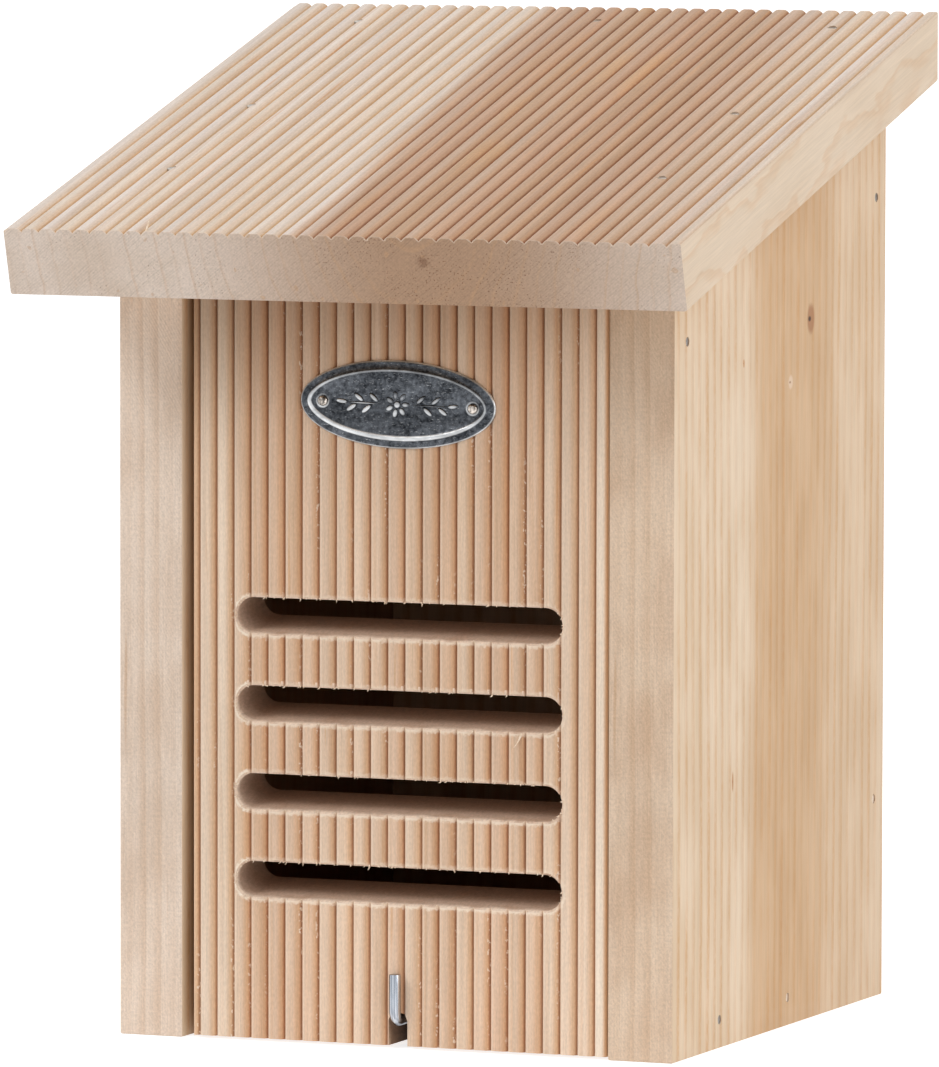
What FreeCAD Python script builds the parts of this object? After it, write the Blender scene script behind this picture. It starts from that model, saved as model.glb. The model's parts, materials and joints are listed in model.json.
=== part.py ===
import FreeCAD, Part
import os
import Sketcher

# Ladybird house: a small nailed box of plain boards under a sloping ribbed roof. Its ribbed front
# panel hangs on two pivot nails and is held shut by a turning wire hook at the bottom.
# Frame: millimetres, +Z up, the front faces -Y, +X is to the right seen from the front.
# The origin is the middle of the box's underside.

# Driving dimensions: alias, value in millimetres or degrees, and what it measures
SIZES = [
    ("box_width", 156, "over the outsides of the two side walls"),
    ("box_depth", 158, "front edge to back edge of a side wall"),
    ("front_height", 205.6, "side wall height at its front edge"),
    ("wall_thickness", 18, "side wall board"),
    ("back_thickness", 15, "back board"),
    ("floor_thickness", 15, "floor board"),
    ("roof_slope", 15.5, "fall of the roof towards the front, in degrees"),
    ("roof_thickness", 18, "roof board over its rib crests"),
    ("roof_side_overhang", 16, "roof past each side wall"),
    ("roof_front_overhang", 33, "lower front edge of the roof, ahead of the walls"),
    ("roof_back_setback", 4, "plumb back end of the roof, ahead of the walls' back"),
    ("rib_pitch", 4.84, "rib to rib on the ribbed boards"),
    ("groove_width", 2.3, "groove between two ribs, across its mouth"),
    ("groove_depth", 1.1, "groove below the rib crests"),
    ("roof_rib_shift", 0.6, "middle rib of the roof, right of the board's middle"),
    ("panel_rib_shift", -0.85, "middle rib of the front panel, right of the board's middle"),
    ("panel_thickness", 18, "front panel over its rib crests"),
    ("panel_left_gap", 3, "front panel to left wall"),
    ("panel_right_gap", 0.4, "front panel to right wall"),
    ("panel_top_gap", 3, "front panel below the walls' front top corner"),
    ("panel_bottom_gap", 0.8, "front panel above the walls' underside"),
    ("panel_back_gap", 1, "front panel to the floor board's front edge"),
    ("pivot_drop", 19.6, "pivot nails below the walls' front top corner"),
    ("slot_length", 91.5, "entrance slot, end to end"),
    ("slot_height", 9.3, "entrance slot, square to its own floor"),
    ("slot_rise", 11, "entrance slot's climb towards the inside, in degrees"),
    ("slot_pitch", 23.1, "entrance slot to entrance slot"),
    ("slot_count", 4, "entrance slots"),
    ("lowest_slot", 42.7, "middle of the lowest slot on the front face, above the underside"),
    ("nail_diameter", 1.5, "nail shank"),
    ("nail_head_diameter", 2.4, "nail head"),
    ("nail_head_height", 0.8, "nail head"),
    ("nail_length", 40, "nail with its head"),
    ("fastener_clearance", 0.05, "radial room round a nail, pin or screw"),
    ("fastener_tip_room", 0.5, "drilled depth past the tip of a nail, pin or screw"),
    ("floor_nail_inset", 34, "first floor nail behind the walls' front edge"),
    ("floor_nail_pitch", 50.6, "floor nail to floor nail"),
    ("back_nail_low", 54, "lower back nail above the underside"),
    ("back_nail_drop", 32.5, "upper back nail below the walls' back top corner"),
    ("roof_nail_front", 18.2, "first roof nail behind the walls' front edge, on the wall's top"),
    ("roof_nail_middle", 70.8, "second roof nail behind the walls' front edge, on the wall's top"),
    ("roof_nail_back", 13.6, "last roof nail ahead of the walls' back edge, on the wall's top"),
    ("plate_width", 54.8, "oval plate"),
    ("plate_height", 23, "oval plate"),
    ("plate_thickness", 0.9, "oval plate's field"),
    ("plate_drop", 37.3, "middle of the oval plate below the walls' front top corner"),
    ("plate_tilt", 1.4, "oval plate's clockwise turn, in degrees"),
    ("bead_inset", 2.4, "outside of the plate's raised bead from its edge"),
    ("bead_width", 1.1, "plate's raised bead"),
    ("bead_height", 0.5, "plate's raised bead above its field"),
    ("pin_spacing", 42.1, "plate pin to plate pin"),
    ("pin_diameter", 1.3, "plate pin shank"),
    ("pin_head_diameter", 2.8, "plate pin's domed head"),
    ("pin_head_height", 0.9, "plate pin's domed head"),
    ("pin_reach", 9, "plate pin below its head"),
    ("hook_wire", 3, "latch hook wire"),
    ("hook_bend", 3, "latch hook's bend, at the middle of the wire"),
    ("hook_arm", 12.3, "tip of the hook's arm from the middle of its shank"),
    ("hook_gap", 0.6, "hook's arm to the rib crests"),
    ("hook_reach", 24, "hook's shank in the floor board"),
    ("running_clearance", 0.05, "radial room round the hook's shank in the floor board"),
    ("notch_side_room", 1.2, "panel notch beside the hook's shank"),
    ("notch_top_room", 0.6, "panel notch above the hook's shank"),
    ("hanger_width", 18, "keyhole hanger plate"),
    ("hanger_height", 52, "keyhole hanger plate"),
    ("hanger_thickness", 1.5, "keyhole hanger plate"),
    ("hanger_drop", 60, "middle of the hanger below the walls' back top corner"),
    ("hanger_room", 0.3, "recess round the hanger plate"),
    ("keyhole_entry", 9, "round hole of the keyhole"),
    ("keyhole_slot", 4.6, "narrow end of the keyhole"),
    ("keyhole_travel", 11, "middle of the round hole to middle of the narrow end"),
    ("pocket_margin", 1.5, "pocket behind the keyhole, round the round hole"),
    ("pocket_depth", 8, "pocket behind the hanger plate"),
    ("screw_spacing", 40, "hanger screw to hanger screw"),
    ("screw_diameter", 3, "hanger screw shank"),
    ("screw_head_diameter", 5.8, "hanger screw's countersunk head"),
    ("screw_head_height", 1.4, "hanger screw's countersunk head"),
    ("screw_length", 12, "hanger screw with its head"),
]

doc = FreeCAD.newDocument("ladybird_house")
sheet = doc.addObject("Spreadsheet::Sheet", "Sizes")
for row, (alias, value, meaning) in enumerate(SIZES, start=1):
    sheet.set(f"A{row}", alias)
    sheet.set(f"B{row}", str(value))
    sheet.setAlias(f"B{row}", alias)
    sheet.set(f"C{row}", meaning)
doc.recompute()

# Shared places, as expressions on the sheet
FRONT = "(-Sizes.box_depth / 2)"
BACK = "(Sizes.box_depth / 2)"
OUTSIDE = "(Sizes.box_width / 2)"
INSIDE = "(Sizes.box_width / 2 - Sizes.wall_thickness)"
BACK_TOP = "(Sizes.front_height + Sizes.box_depth * tan(Sizes.roof_slope))"
PANEL_MIDDLE = "((Sizes.panel_left_gap - Sizes.panel_right_gap) / 2)"
FLOOR_FRONT = f"({FRONT} + Sizes.panel_thickness + Sizes.panel_back_gap)"
FLOOR_BACK = f"({BACK} - Sizes.back_thickness)"
HOOK_HEIGHT = "(Sizes.floor_thickness / 2)"

# Turns of a piece's own Z axis: to the roof's normal, the front, the back, the right and the left
NO_TURN = "rotation(vector(0; 0; 1); 0)"
TO_ROOF = "rotation(vector(1; 0; 0); Sizes.roof_slope)"
TO_FRONT = "rotation(vector(1; 0; 0); 90)"
TO_BACK = "rotation(vector(1; 0; 0); -90)"
TO_RIGHT = "rotation(vector(0; 1; 0); 90)"
TO_LEFT = "rotation(vector(0; 1; 0); -90)"
# The same to the back, with the piece's own X axis upright
UPRIGHT_TO_BACK = "rotation(vector(1; 1; 1); -120)"


def roof_underside(y):
    """Height of the roof's underside, which the walls meet, at a place along Y."""
    return f"(Sizes.front_height + ({y} - {FRONT}) * tan(Sizes.roof_slope))"


def place(x="0", y="0", z="0", turn=NO_TURN):
    """Placement expression from a position and a turn."""
    return f"placement(vector({x}; {y}; {z}); {turn})"


def bind(item, **expressions):
    """Tie properties of a document object to expressions on the sheet."""
    for prop, expression in expressions.items():
        item.setExpression(prop, expression)
    return item


def box(name, length, width, height, where):
    item = doc.addObject("Part::Box", name)
    return bind(item, Length=length, Width=width, Height=height, Placement=where)


def cylinder(name, radius, height, where):
    item = doc.addObject("Part::Cylinder", name)
    return bind(item, Radius=radius, Height=height, Placement=where)


def cone(name, low_radius, high_radius, height, where):
    item = doc.addObject("Part::Cone", name)
    return bind(item, Radius1=low_radius, Radius2=high_radius, Height=height, Placement=where)


def fuse(name, pieces, where=None):
    item = doc.addObject("Part::MultiFuse", name)
    item.Shapes = pieces
    if where:
        bind(item, Placement=where)
    return item


def cut(name, base, tools, where=None):
    """Base with every tool taken away; the result carries the sub-part's name."""
    item = doc.addObject("Part::Cut", name)
    item.Base = base
    item.Tool = tools[0] if len(tools) == 1 else fuse(f"{name}_cutters", tools)
    if where:
        bind(item, Placement=where)
    return item


def group(name, pieces):
    item = doc.addObject("Part::Compound", name)
    item.Links = pieces
    return item


def obround(name, length, width, depth, where):
    """Round-ended bar along its own X, middle at its origin, as deep as its own +Z."""
    straight = f"({length} - {width})"
    bar = box(f"{name}_bar", straight, width, depth, place(f"-{straight} / 2", f"-{width} / 2"))
    ends = [
        cylinder(f"{name}_{side}_end", f"{width} / 2", depth, place(f"{sign}{straight} / 2"))
        for side, sign in (("left", "-"), ("right", ""))
    ]
    return fuse(name, [bar] + ends, where)


def polygon(body, name, role, corners):
    """Closed outline on one of the body's own planes, each corner tied to two expressions."""
    sketch = body.newObject("Sketcher::SketchObject", name)
    support = next(item for item in body.Origin.OriginFeatures if item.Role == role)
    sketch.AttachmentSupport = [(support, "")]
    sketch.MapMode = "FlatFace"
    points = [
        FreeCAD.Vector(float(sketch.evalExpression(across)), float(sketch.evalExpression(up)), 0)
        for across, up in corners
    ]
    count = len(points)
    for index in range(count):
        sketch.addGeometry(Part.LineSegment(points[index], points[(index + 1) % count]), False)
    for index in range(count):
        sketch.addConstraint(Sketcher.Constraint("Coincident", index, 2, (index + 1) % count, 1))
    for index, (across, up) in enumerate(corners):
        for kind, expression, value in (
            ("DistanceX", across, points[index].x),
            ("DistanceY", up, points[index].y),
        ):
            number = sketch.addConstraint(Sketcher.Constraint(kind, index, 1, value))
            sketch.setExpression(f"Constraints[{number}]", expression)
    return sketch


def plank(name, corners, width, where):
    """Plain board: an outline on the YZ plane, padded along +X."""
    body = doc.addObject("PartDesign::Body", name)
    outline = polygon(body, f"{name}_outline", "YZ_Plane", corners)
    pad = body.newObject("PartDesign::Pad", f"{name}_pad")
    pad.Profile = outline
    bind(pad, Length=width)
    return bind(body, Placement=where)


def ribbed_board(name, corners, width, rib_shift, where):
    """Board with ribs along its own Y on its own top: a padded outline and a row of V grooves."""
    body = doc.addObject("PartDesign::Body", name)
    outline = polygon(body, f"{name}_outline", "YZ_Plane", corners)
    pad = body.newObject("PartDesign::Pad", f"{name}_pad")
    pad.Profile = outline
    pad.Midplane = True
    bind(pad, Length=width)
    doc.recompute()
    plain_volume = pad.Shape.Volume

    crest = corners[-1][1]
    grooves = f"floor({width} / Sizes.rib_pitch)"
    row_length = f"({grooves} - 1) * Sizes.rib_pitch"
    first = f"({rib_shift} - {row_length} / 2)"
    vee = polygon(body, f"{name}_groove_outline", "XZ_Plane", [
        (f"{first} - Sizes.groove_width / 2", crest),
        (first, f"{crest} - Sizes.groove_depth"),
        (f"{first} + Sizes.groove_width / 2", crest),
    ])
    groove = body.newObject("PartDesign::Pocket", f"{name}_groove")
    groove.Profile = vee
    groove.Type = "ThroughAll"
    groove.Midplane = True
    doc.recompute()
    if groove.Shape.Volume >= plain_volume:
        raise RuntimeError(f"{name}: the groove cuts nothing")

    row = body.newObject("PartDesign::LinearPattern", f"{name}_ribs")
    row.Originals = [groove]
    row.Direction = (vee, ["H_Axis"])
    row.Mode = "Extent"
    bind(row, Length=row_length, Occurrences=grooves)
    body.Tip = row
    return bind(body, Placement=where)


def nail(name, where):
    """Flat-headed nail along its own -Z, seated at its origin, with the bore that it needs."""
    reach = "(Sizes.nail_length - Sizes.nail_head_height)"
    radius = "Sizes.nail_diameter / 2"
    head = cylinder(f"{name}_head", "Sizes.nail_head_diameter / 2", "Sizes.nail_head_height", place())
    solid = fuse(name, [head] + shank(name, radius, reach), where)
    mouth = ("Sizes.nail_head_diameter / 2", "Sizes.nail_head_diameter")
    return solid, bore(name, radius, reach, mouth, where)


def shank(name, radius, reach):
    """Round shank below a head, ending in a point two diameters long."""
    point = f"(4 * {radius})"
    rod = cylinder(f"{name}_shank", radius, f"{reach} - {point}", place(z=f"{point} - {reach}"))
    tip = cone(f"{name}_tip", "0", radius, point, place(z=f"-{reach}"))
    return [rod, tip]


def bore(name, radius, reach, mouth, where):
    """Room for a fastener: a drilled hole below its seat and a wider mouth above it."""
    depth = f"({reach} + Sizes.fastener_tip_room)"
    room = "Sizes.fastener_clearance"
    hole = cylinder(f"{name}_hole", f"{radius} + {room}", depth, place(z=f"-{depth}"))
    mouth_radius, mouth_height = mouth
    opening = cylinder(f"{name}_mouth", f"{mouth_radius} + {room}", mouth_height, place())
    return fuse(f"{name}_bore", [hole, opening], where)


def side_nails(name, side, places):
    """Nails driven through a side wall from outside, at (y, z) places, with their bores."""
    sign, turn = ("", TO_RIGHT) if side == "right" else ("-", TO_LEFT)
    seat = f"{sign}({OUTSIDE} - Sizes.nail_head_height)"
    pairs = [
        nail(f"{name}_{side}_{number}", place(seat, y, z, turn))
        for number, (y, z) in enumerate(places, start=1)
    ]
    return [pair[0] for pair in pairs], [pair[1] for pair in pairs]


def roof_nails(name, places):
    """Nails driven square through the roof at (x, y) places on its underside, with their bores."""
    rise = "(Sizes.roof_thickness - Sizes.groove_depth - Sizes.nail_head_height)"
    pairs = []
    for number, (x, y) in enumerate(places, start=1):
        seat_y = f"({y} - {rise} * sin(Sizes.roof_slope))"
        seat_z = f"({roof_underside(y)} + {rise} * cos(Sizes.roof_slope))"
        pairs.append(nail(f"{name}_{number}", place(x, seat_y, seat_z, TO_ROOF)))
    return [pair[0] for pair in pairs], [pair[1] for pair in pairs]


# Nails, and the bores that the boards need for them
WALL_MIDDLE = "(Sizes.box_width / 2 - Sizes.wall_thickness / 2)"
PIVOT = (f"({FRONT} + Sizes.panel_thickness / 2)", "(Sizes.front_height - Sizes.pivot_drop)")
FLOOR_NAILS = [
    (f"({FRONT} + Sizes.floor_nail_inset)", HOOK_HEIGHT),
    (f"({FRONT} + Sizes.floor_nail_inset + Sizes.floor_nail_pitch)", HOOK_HEIGHT),
]
BACK_NAIL_LINE = f"({BACK} - Sizes.back_thickness / 2)"
BACK_NAILS = [
    (BACK_NAIL_LINE, "Sizes.back_nail_low"),
    (BACK_NAIL_LINE, f"({BACK_TOP} - Sizes.back_nail_drop)"),
]
ROOF_NAIL_LINE = [
    f"({FRONT} + Sizes.roof_nail_front)",
    f"({FRONT} + Sizes.roof_nail_middle)",
    f"({BACK} - Sizes.roof_nail_back)",
]
NAIL_BITE = "(Sizes.nail_length + Sizes.groove_depth - Sizes.roof_thickness)"

sub_parts = []
wall_bores = {}
panel_bores = []
floor_bores = []
back_bores = []
roof_bores = []
for side, sign in (("left", "-"), ("right", "")):
    pivot, pivot_bore = side_nails("pivot_nail", side, [PIVOT])
    floor_nails, floor_side_bores = side_nails("floor_nail", side, FLOOR_NAILS)
    back_nails, back_side_bores = side_nails("back_nail", side, BACK_NAILS)
    along_wall = [(f"{sign}{WALL_MIDDLE}", y) for y in ROOF_NAIL_LINE]
    side_roof_nails, side_roof_bores = roof_nails(f"roof_nail_{side}", along_wall)
    panel_bores += pivot_bore
    floor_bores += floor_side_bores
    back_bores += back_side_bores
    roof_bores += side_roof_bores
    wall_bores[side] = pivot_bore + floor_side_bores + back_side_bores + side_roof_bores
    sub_parts += [
        group(f"pivot_nail_{side}", pivot),
        group(f"floor_nails_{side}", floor_nails),
        group(f"back_nails_{side}", back_nails),
        group(f"roof_nails_{side}", side_roof_nails),
    ]
over_back = f"({BACK_NAIL_LINE} - {NAIL_BITE} / 2 * sin(Sizes.roof_slope))"
middle_nail, middle_bore = roof_nails("roof_nail_middle", [("0", over_back)])
back_bores += middle_bore
roof_bores += middle_bore
sub_parts.append(group("roof_nail_back", middle_nail))

# Side walls: one outline, its top cut to the roof's slope
WALL_OUTLINE = [
    (FRONT, "0"),
    (BACK, "0"),
    (BACK, BACK_TOP),
    (FRONT, "Sizes.front_height"),
]
for side, start in (("left", f"-{OUTSIDE}"), ("right", INSIDE)):
    board = plank(f"{side}_wall_board", WALL_OUTLINE, "Sizes.wall_thickness", place(start))
    sub_parts.append(cut(f"{side}_wall", board, wall_bores[side]))

# Roof board, from its lower front edge; its back end is plumb
level_run = "(Sizes.box_depth - Sizes.roof_back_setback + Sizes.roof_front_overhang)"
run = f"({level_run} / cos(Sizes.roof_slope))"
ROOF_OUTLINE = [
    ("0", "0"),
    (run, "0"),
    (f"{run} + Sizes.roof_thickness * tan(Sizes.roof_slope)", "Sizes.roof_thickness"),
    ("0", "Sizes.roof_thickness"),
]
ROOF_WIDTH = "(Sizes.box_width + 2 * Sizes.roof_side_overhang)"
eaves = f"({FRONT} - Sizes.roof_front_overhang)"
roof_place = place("0", eaves, roof_underside(eaves), TO_ROOF)
roof = ribbed_board("roof_stock", ROOF_OUTLINE, ROOF_WIDTH, "Sizes.roof_rib_shift", roof_place)
sub_parts.append(cut("roof_board", roof, roof_bores))

# Latch hook: a wire with its shank turning in the floor board's edge and its arm before the panel
WIRE = "Sizes.hook_wire / 2"
ARM_LINE = f"({FRONT} - Sizes.hook_gap - {WIRE})"
BEND_LINE = f"({ARM_LINE} + Sizes.hook_bend)"
BEND_TOP = f"({HOOK_HEIGHT} + Sizes.hook_bend)"
SHANK_END = f"({FLOOR_FRONT} + Sizes.hook_reach)"
arm = cylinder("hook_arm_rod", WIRE, "Sizes.hook_arm - Sizes.hook_bend",
               place(PANEL_MIDDLE, ARM_LINE, BEND_TOP))
bend = doc.addObject("Part::Torus", "hook_bend_quarter")
bend.Angle3 = 90
FROM_SHANK_TO_ARM = "rotation(vector(1; 0; -1); 180)"
bind(bend, Radius1="Sizes.hook_bend", Radius2=WIRE,
     Placement=place(PANEL_MIDDLE, BEND_LINE, BEND_TOP, FROM_SHANK_TO_ARM))
rod = cylinder("hook_shank_rod", WIRE, f"{SHANK_END} - Sizes.hook_wire - {BEND_LINE}",
               place(PANEL_MIDDLE, BEND_LINE, HOOK_HEIGHT, TO_BACK))
point = cone("hook_point", WIRE, "0", "Sizes.hook_wire",
             place(PANEL_MIDDLE, f"{SHANK_END} - Sizes.hook_wire", HOOK_HEIGHT, TO_BACK))
sub_parts.append(fuse("latch_hook", [arm, bend, rod, point]))

# Floor board, between the walls, bored for the hook
FLOOR_OUTLINE = [
    (FLOOR_FRONT, "0"),
    (FLOOR_BACK, "0"),
    (FLOOR_BACK, "Sizes.floor_thickness"),
    (FLOOR_FRONT, "Sizes.floor_thickness"),
]
INNER_WIDTH = f"(2 * {INSIDE})"
floor = plank("floor_plank", FLOOR_OUTLINE, INNER_WIDTH, place(f"-{INSIDE}"))
hook_bore = cylinder("hook_bore", f"{WIRE} + Sizes.running_clearance",
                     "Sizes.hook_reach + Sizes.fastener_tip_room",
                     place(PANEL_MIDDLE, FLOOR_FRONT, HOOK_HEIGHT, TO_BACK))
sub_parts.append(cut("floor_board", floor, floor_bores + [hook_bore]))

# Front panel: ribbed board with rising entrance slots and a notch for the hook's shank
PANEL_HEIGHT = "(Sizes.front_height - Sizes.panel_top_gap - Sizes.panel_bottom_gap)"
PANEL_OUTLINE = [
    ("0", "0"),
    (PANEL_HEIGHT, "0"),
    (PANEL_HEIGHT, "Sizes.panel_thickness"),
    ("0", "Sizes.panel_thickness"),
]
PANEL_WIDTH = f"({INNER_WIDTH} - Sizes.panel_left_gap - Sizes.panel_right_gap)"
panel_rear = f"({FRONT} + Sizes.panel_thickness)"
panel_place = place(PANEL_MIDDLE, panel_rear, "Sizes.panel_bottom_gap", TO_FRONT)
panel = ribbed_board("panel_stock", PANEL_OUTLINE, PANEL_WIDTH, "Sizes.panel_rib_shift", panel_place)
INTO_SLOT = "rotation(vector(1; 0; 0); Sizes.slot_rise - 90)"
lead = "Sizes.slot_height"
cutter_depth = f"(2 * {lead} + Sizes.panel_thickness / cos(Sizes.slot_rise))"
slots = []
for number in range(int(sheet.slot_count)):
    middle = f"(Sizes.lowest_slot + {number} * Sizes.slot_pitch)"
    start = place(PANEL_MIDDLE, f"({FRONT} - {lead} * cos(Sizes.slot_rise))",
                  f"({middle} - {lead} * sin(Sizes.slot_rise))", INTO_SLOT)
    name = f"slot_{number + 1}"
    slots.append(obround(name, "Sizes.slot_length", "Sizes.slot_height", cutter_depth, start))
notch_half = f"({WIRE} + Sizes.notch_side_room)"
notch_round = f"({HOOK_HEIGHT} + {WIRE} + Sizes.notch_top_room - {notch_half})"
notch_front = f"({FRONT} - Sizes.hook_wire)"
notch_depth = "(Sizes.panel_thickness + 2 * Sizes.hook_wire)"
notch = [
    box("notch_sides", f"2 * {notch_half}", notch_depth, notch_round,
        place(f"{PANEL_MIDDLE} - {notch_half}", notch_front)),
    cylinder("notch_top", notch_half, notch_depth, place(PANEL_MIDDLE, notch_front, notch_round, TO_BACK)),
]

# Oval plate with a raised bead, on the rib crests, and its two domed pins
PLATE_PLACE = place(PANEL_MIDDLE, FRONT, "(Sizes.front_height - Sizes.plate_drop)",
                    f"{TO_FRONT} * rotation(vector(0; 0; 1); -Sizes.plate_tilt)")


def oval(name, inset, thickness):
    """Oval blank, a given distance inside the plate's edge, as thick as its own +Z."""
    edge = doc.addObject("Part::Ellipse", f"{name}_edge")
    bind(edge, MajorRadius=f"Sizes.plate_width / 2 - {inset}",
         MinorRadius=f"Sizes.plate_height / 2 - {inset}")
    blank = doc.addObject("Part::Extrusion", name)
    blank.Base = edge
    blank.DirMode = "Custom"
    blank.Dir = FreeCAD.Vector(0, 0, 1)
    blank.Solid = True
    return bind(blank, LengthFwd=thickness)


bead_top = "(Sizes.plate_thickness + Sizes.bead_height)"
bead = cut("plate_bead", oval("bead_outside", "Sizes.bead_inset", bead_top),
           [oval("bead_inside", "(Sizes.bead_inset + Sizes.bead_width)", bead_top)])
plate_blank = fuse("plate_blank", [oval("plate_field", "0", "Sizes.plate_thickness"), bead])
pin_radius = "Sizes.pin_diameter / 2"
pins = []
plate_holes = []
for side, sign in (("left", "-"), ("right", "")):
    seat = place(f"{sign}Sizes.pin_spacing / 2", "0", "Sizes.plate_thickness")
    dome = doc.addObject("Part::Ellipsoid", f"pin_{side}_dome")
    dome.Angle1 = 0
    dome.Angle2 = 90
    dome_radius = "Sizes.pin_head_diameter / 2"
    bind(dome, Radius1="Sizes.pin_head_height", Radius2=dome_radius, Radius3=dome_radius)
    pin_parts = [dome] + shank(f"pin_{side}", pin_radius, "Sizes.pin_reach")
    on_panel = f"{PLATE_PLACE} * {seat}"
    pins.append(fuse(f"pin_{side}", pin_parts, on_panel))
    mouth = (dome_radius, "Sizes.pin_head_height")
    plate_holes.append(bore(f"pin_{side}_plate", pin_radius, "Sizes.pin_reach", mouth, seat))
    panel_bores.append(bore(f"pin_{side}_panel", pin_radius, "Sizes.pin_reach", mouth, on_panel))
sub_parts.append(cut("name_plate", plate_blank, plate_holes, PLATE_PLACE))
sub_parts.append(group("name_plate_pins", pins))
sub_parts.append(cut("front_panel", panel, slots + notch + panel_bores))

# Keyhole hanger plate, let in flush with the back board, and its two countersunk screws
HANGER_HEIGHT = f"({BACK_TOP} - Sizes.hanger_drop)"


def on_hanger(depth, rise="0"):
    """Place a given depth in from the back face, a given rise above the hanger's middle."""
    return place("0", f"({BACK} - {depth})", f"({HANGER_HEIGHT} + {rise})", UPRIGHT_TO_BACK)


deep = "Sizes.hanger_thickness"
clear_through = "(3 * Sizes.hanger_thickness)"
hanger_blank = obround("hanger_blank", "Sizes.hanger_height", "Sizes.hanger_width", deep, on_hanger(deep))
keyhole = [
    obround("keyhole_slot_cut", "(Sizes.keyhole_travel + Sizes.keyhole_slot)", "Sizes.keyhole_slot",
            clear_through, on_hanger(f"2 * {deep}")),
    cylinder("keyhole_entry_cut", "Sizes.keyhole_entry / 2", clear_through,
             on_hanger(f"2 * {deep}", "-Sizes.keyhole_travel / 2")),
]
recess = obround("hanger_recess", "(Sizes.hanger_height + 2 * Sizes.hanger_room)",
                 "(Sizes.hanger_width + 2 * Sizes.hanger_room)", clear_through, on_hanger(deep))
pocket_width = "(Sizes.keyhole_entry + 2 * Sizes.pocket_margin)"
pocket_bottom = f"({deep} + Sizes.pocket_depth)"
pocket = obround("hanger_pocket", f"({pocket_width} + Sizes.keyhole_travel)", pocket_width,
                 f"({pocket_bottom} + {deep})", on_hanger(pocket_bottom))
screws = []
screw_bores = []
screw_radius = "Sizes.screw_diameter / 2"
screw_head = "Sizes.screw_head_height"
room = "Sizes.fastener_clearance"
for side, sign in (("low", "-"), ("high", "")):
    where = place("0", BACK, f"({HANGER_HEIGHT} {sign or '+'} Sizes.screw_spacing / 2)", TO_BACK)
    name = f"screw_{side}"
    head = cone(f"{name}_head", screw_radius, "Sizes.screw_head_diameter / 2",
                screw_head, place(z=f"-{screw_head}"))
    screws.append(fuse(name, [head] + shank(name, screw_radius, "Sizes.screw_length"), where))
    sink = cone(f"{name}_sink", f"{screw_radius} + {room}", f"Sizes.screw_head_diameter / 2 + {room}",
                screw_head, place(z=f"-{screw_head}"))
    depth = "(Sizes.screw_length + Sizes.fastener_tip_room)"
    hole = cylinder(f"{name}_hole", f"{screw_radius} + {room}", depth, place(z=f"-{depth}"))
    screw_bores.append(fuse(f"{name}_bore", [sink, hole], where))
sub_parts.append(cut("hanger_plate", hanger_blank, keyhole + screw_bores))
sub_parts.append(group("hanger_screws", screws))

# Back board, between the walls, its top cut to the roof's slope
BACK_OUTLINE = [
    (FLOOR_BACK, "0"),
    (BACK, "0"),
    (BACK, BACK_TOP),
    (FLOOR_BACK, roof_underside(FLOOR_BACK)),
]
back = plank("back_plank", BACK_OUTLINE, INNER_WIDTH, place(f"-{INSIDE}"))
sub_parts.append(cut("back_panel", back, back_bores + screw_bores + [recess, pocket]))

doc.recompute()
failed = [item.Name for item in doc.Objects if {"Invalid", "Error"} & set(item.State)]
if failed:
    raise RuntimeError(f"these objects failed: {failed}")
for item in sub_parts:
    if item.Shape.isNull() or not item.Shape.isValid() or not item.Shape.Solids:
        raise RuntimeError(f"{item.Label} has no valid solid")

os.makedirs("parts", exist_ok=True)
for item in sub_parts:
    item.Shape.exportStep(f"parts/{item.Label}.step")
    print(f"{item.Label}: {len(item.Shape.Solids)} solid(s), {item.Shape.Volume:.1f} mm3")
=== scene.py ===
"""Looks of a ladybird house: a nailed box of pale boards, a ribbed roof and a ribbed front that swings.

Everything is in metres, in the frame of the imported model: +Z up, the front faces -Y.
"""

import json
import logging
import math
import random
from contextlib import contextmanager
from dataclasses import dataclass
from enum import Enum
from typing import Callable, Iterator, Sequence

import bpy
from mathutils import Euler, Matrix, Vector


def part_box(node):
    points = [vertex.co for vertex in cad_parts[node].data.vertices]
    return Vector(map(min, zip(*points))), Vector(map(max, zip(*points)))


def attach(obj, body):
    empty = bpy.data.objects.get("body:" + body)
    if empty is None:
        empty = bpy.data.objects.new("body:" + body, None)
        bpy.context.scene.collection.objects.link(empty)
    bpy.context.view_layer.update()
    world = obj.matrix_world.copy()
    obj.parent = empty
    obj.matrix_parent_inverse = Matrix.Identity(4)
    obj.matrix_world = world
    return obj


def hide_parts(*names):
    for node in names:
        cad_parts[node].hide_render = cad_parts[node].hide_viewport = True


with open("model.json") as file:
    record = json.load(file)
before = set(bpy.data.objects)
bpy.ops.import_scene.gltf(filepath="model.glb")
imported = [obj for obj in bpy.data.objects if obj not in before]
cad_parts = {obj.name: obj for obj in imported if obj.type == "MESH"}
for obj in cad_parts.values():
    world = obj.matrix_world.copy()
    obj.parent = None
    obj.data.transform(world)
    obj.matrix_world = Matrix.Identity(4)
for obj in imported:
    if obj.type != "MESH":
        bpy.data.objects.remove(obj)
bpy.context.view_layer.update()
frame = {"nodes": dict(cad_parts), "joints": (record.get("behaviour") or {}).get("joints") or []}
LOG = logging.getLogger("ladybird_house")
MM = 0.001
CLOSE = 0.0002 * MM
QUARTER = math.pi / 2
# Least cosine between a face's normal and the way that it counts as looking
LOOKS = 0.7

Socket = bpy.types.NodeSocket
Piece = bpy.types.Object
Material = bpy.types.Material
Colour = tuple[float, float, float, float]
Range = tuple[float, float]
Floats = Sequence[float]
Places = dict[str, list[Matrix]]


# The bench: selecting, editing and finishing one mesh


class Element(Enum):
    """Kind of mesh element that an edit picks."""

    VERT = "VERT"
    EDGE = "EDGE"
    FACE = "FACE"


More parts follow.
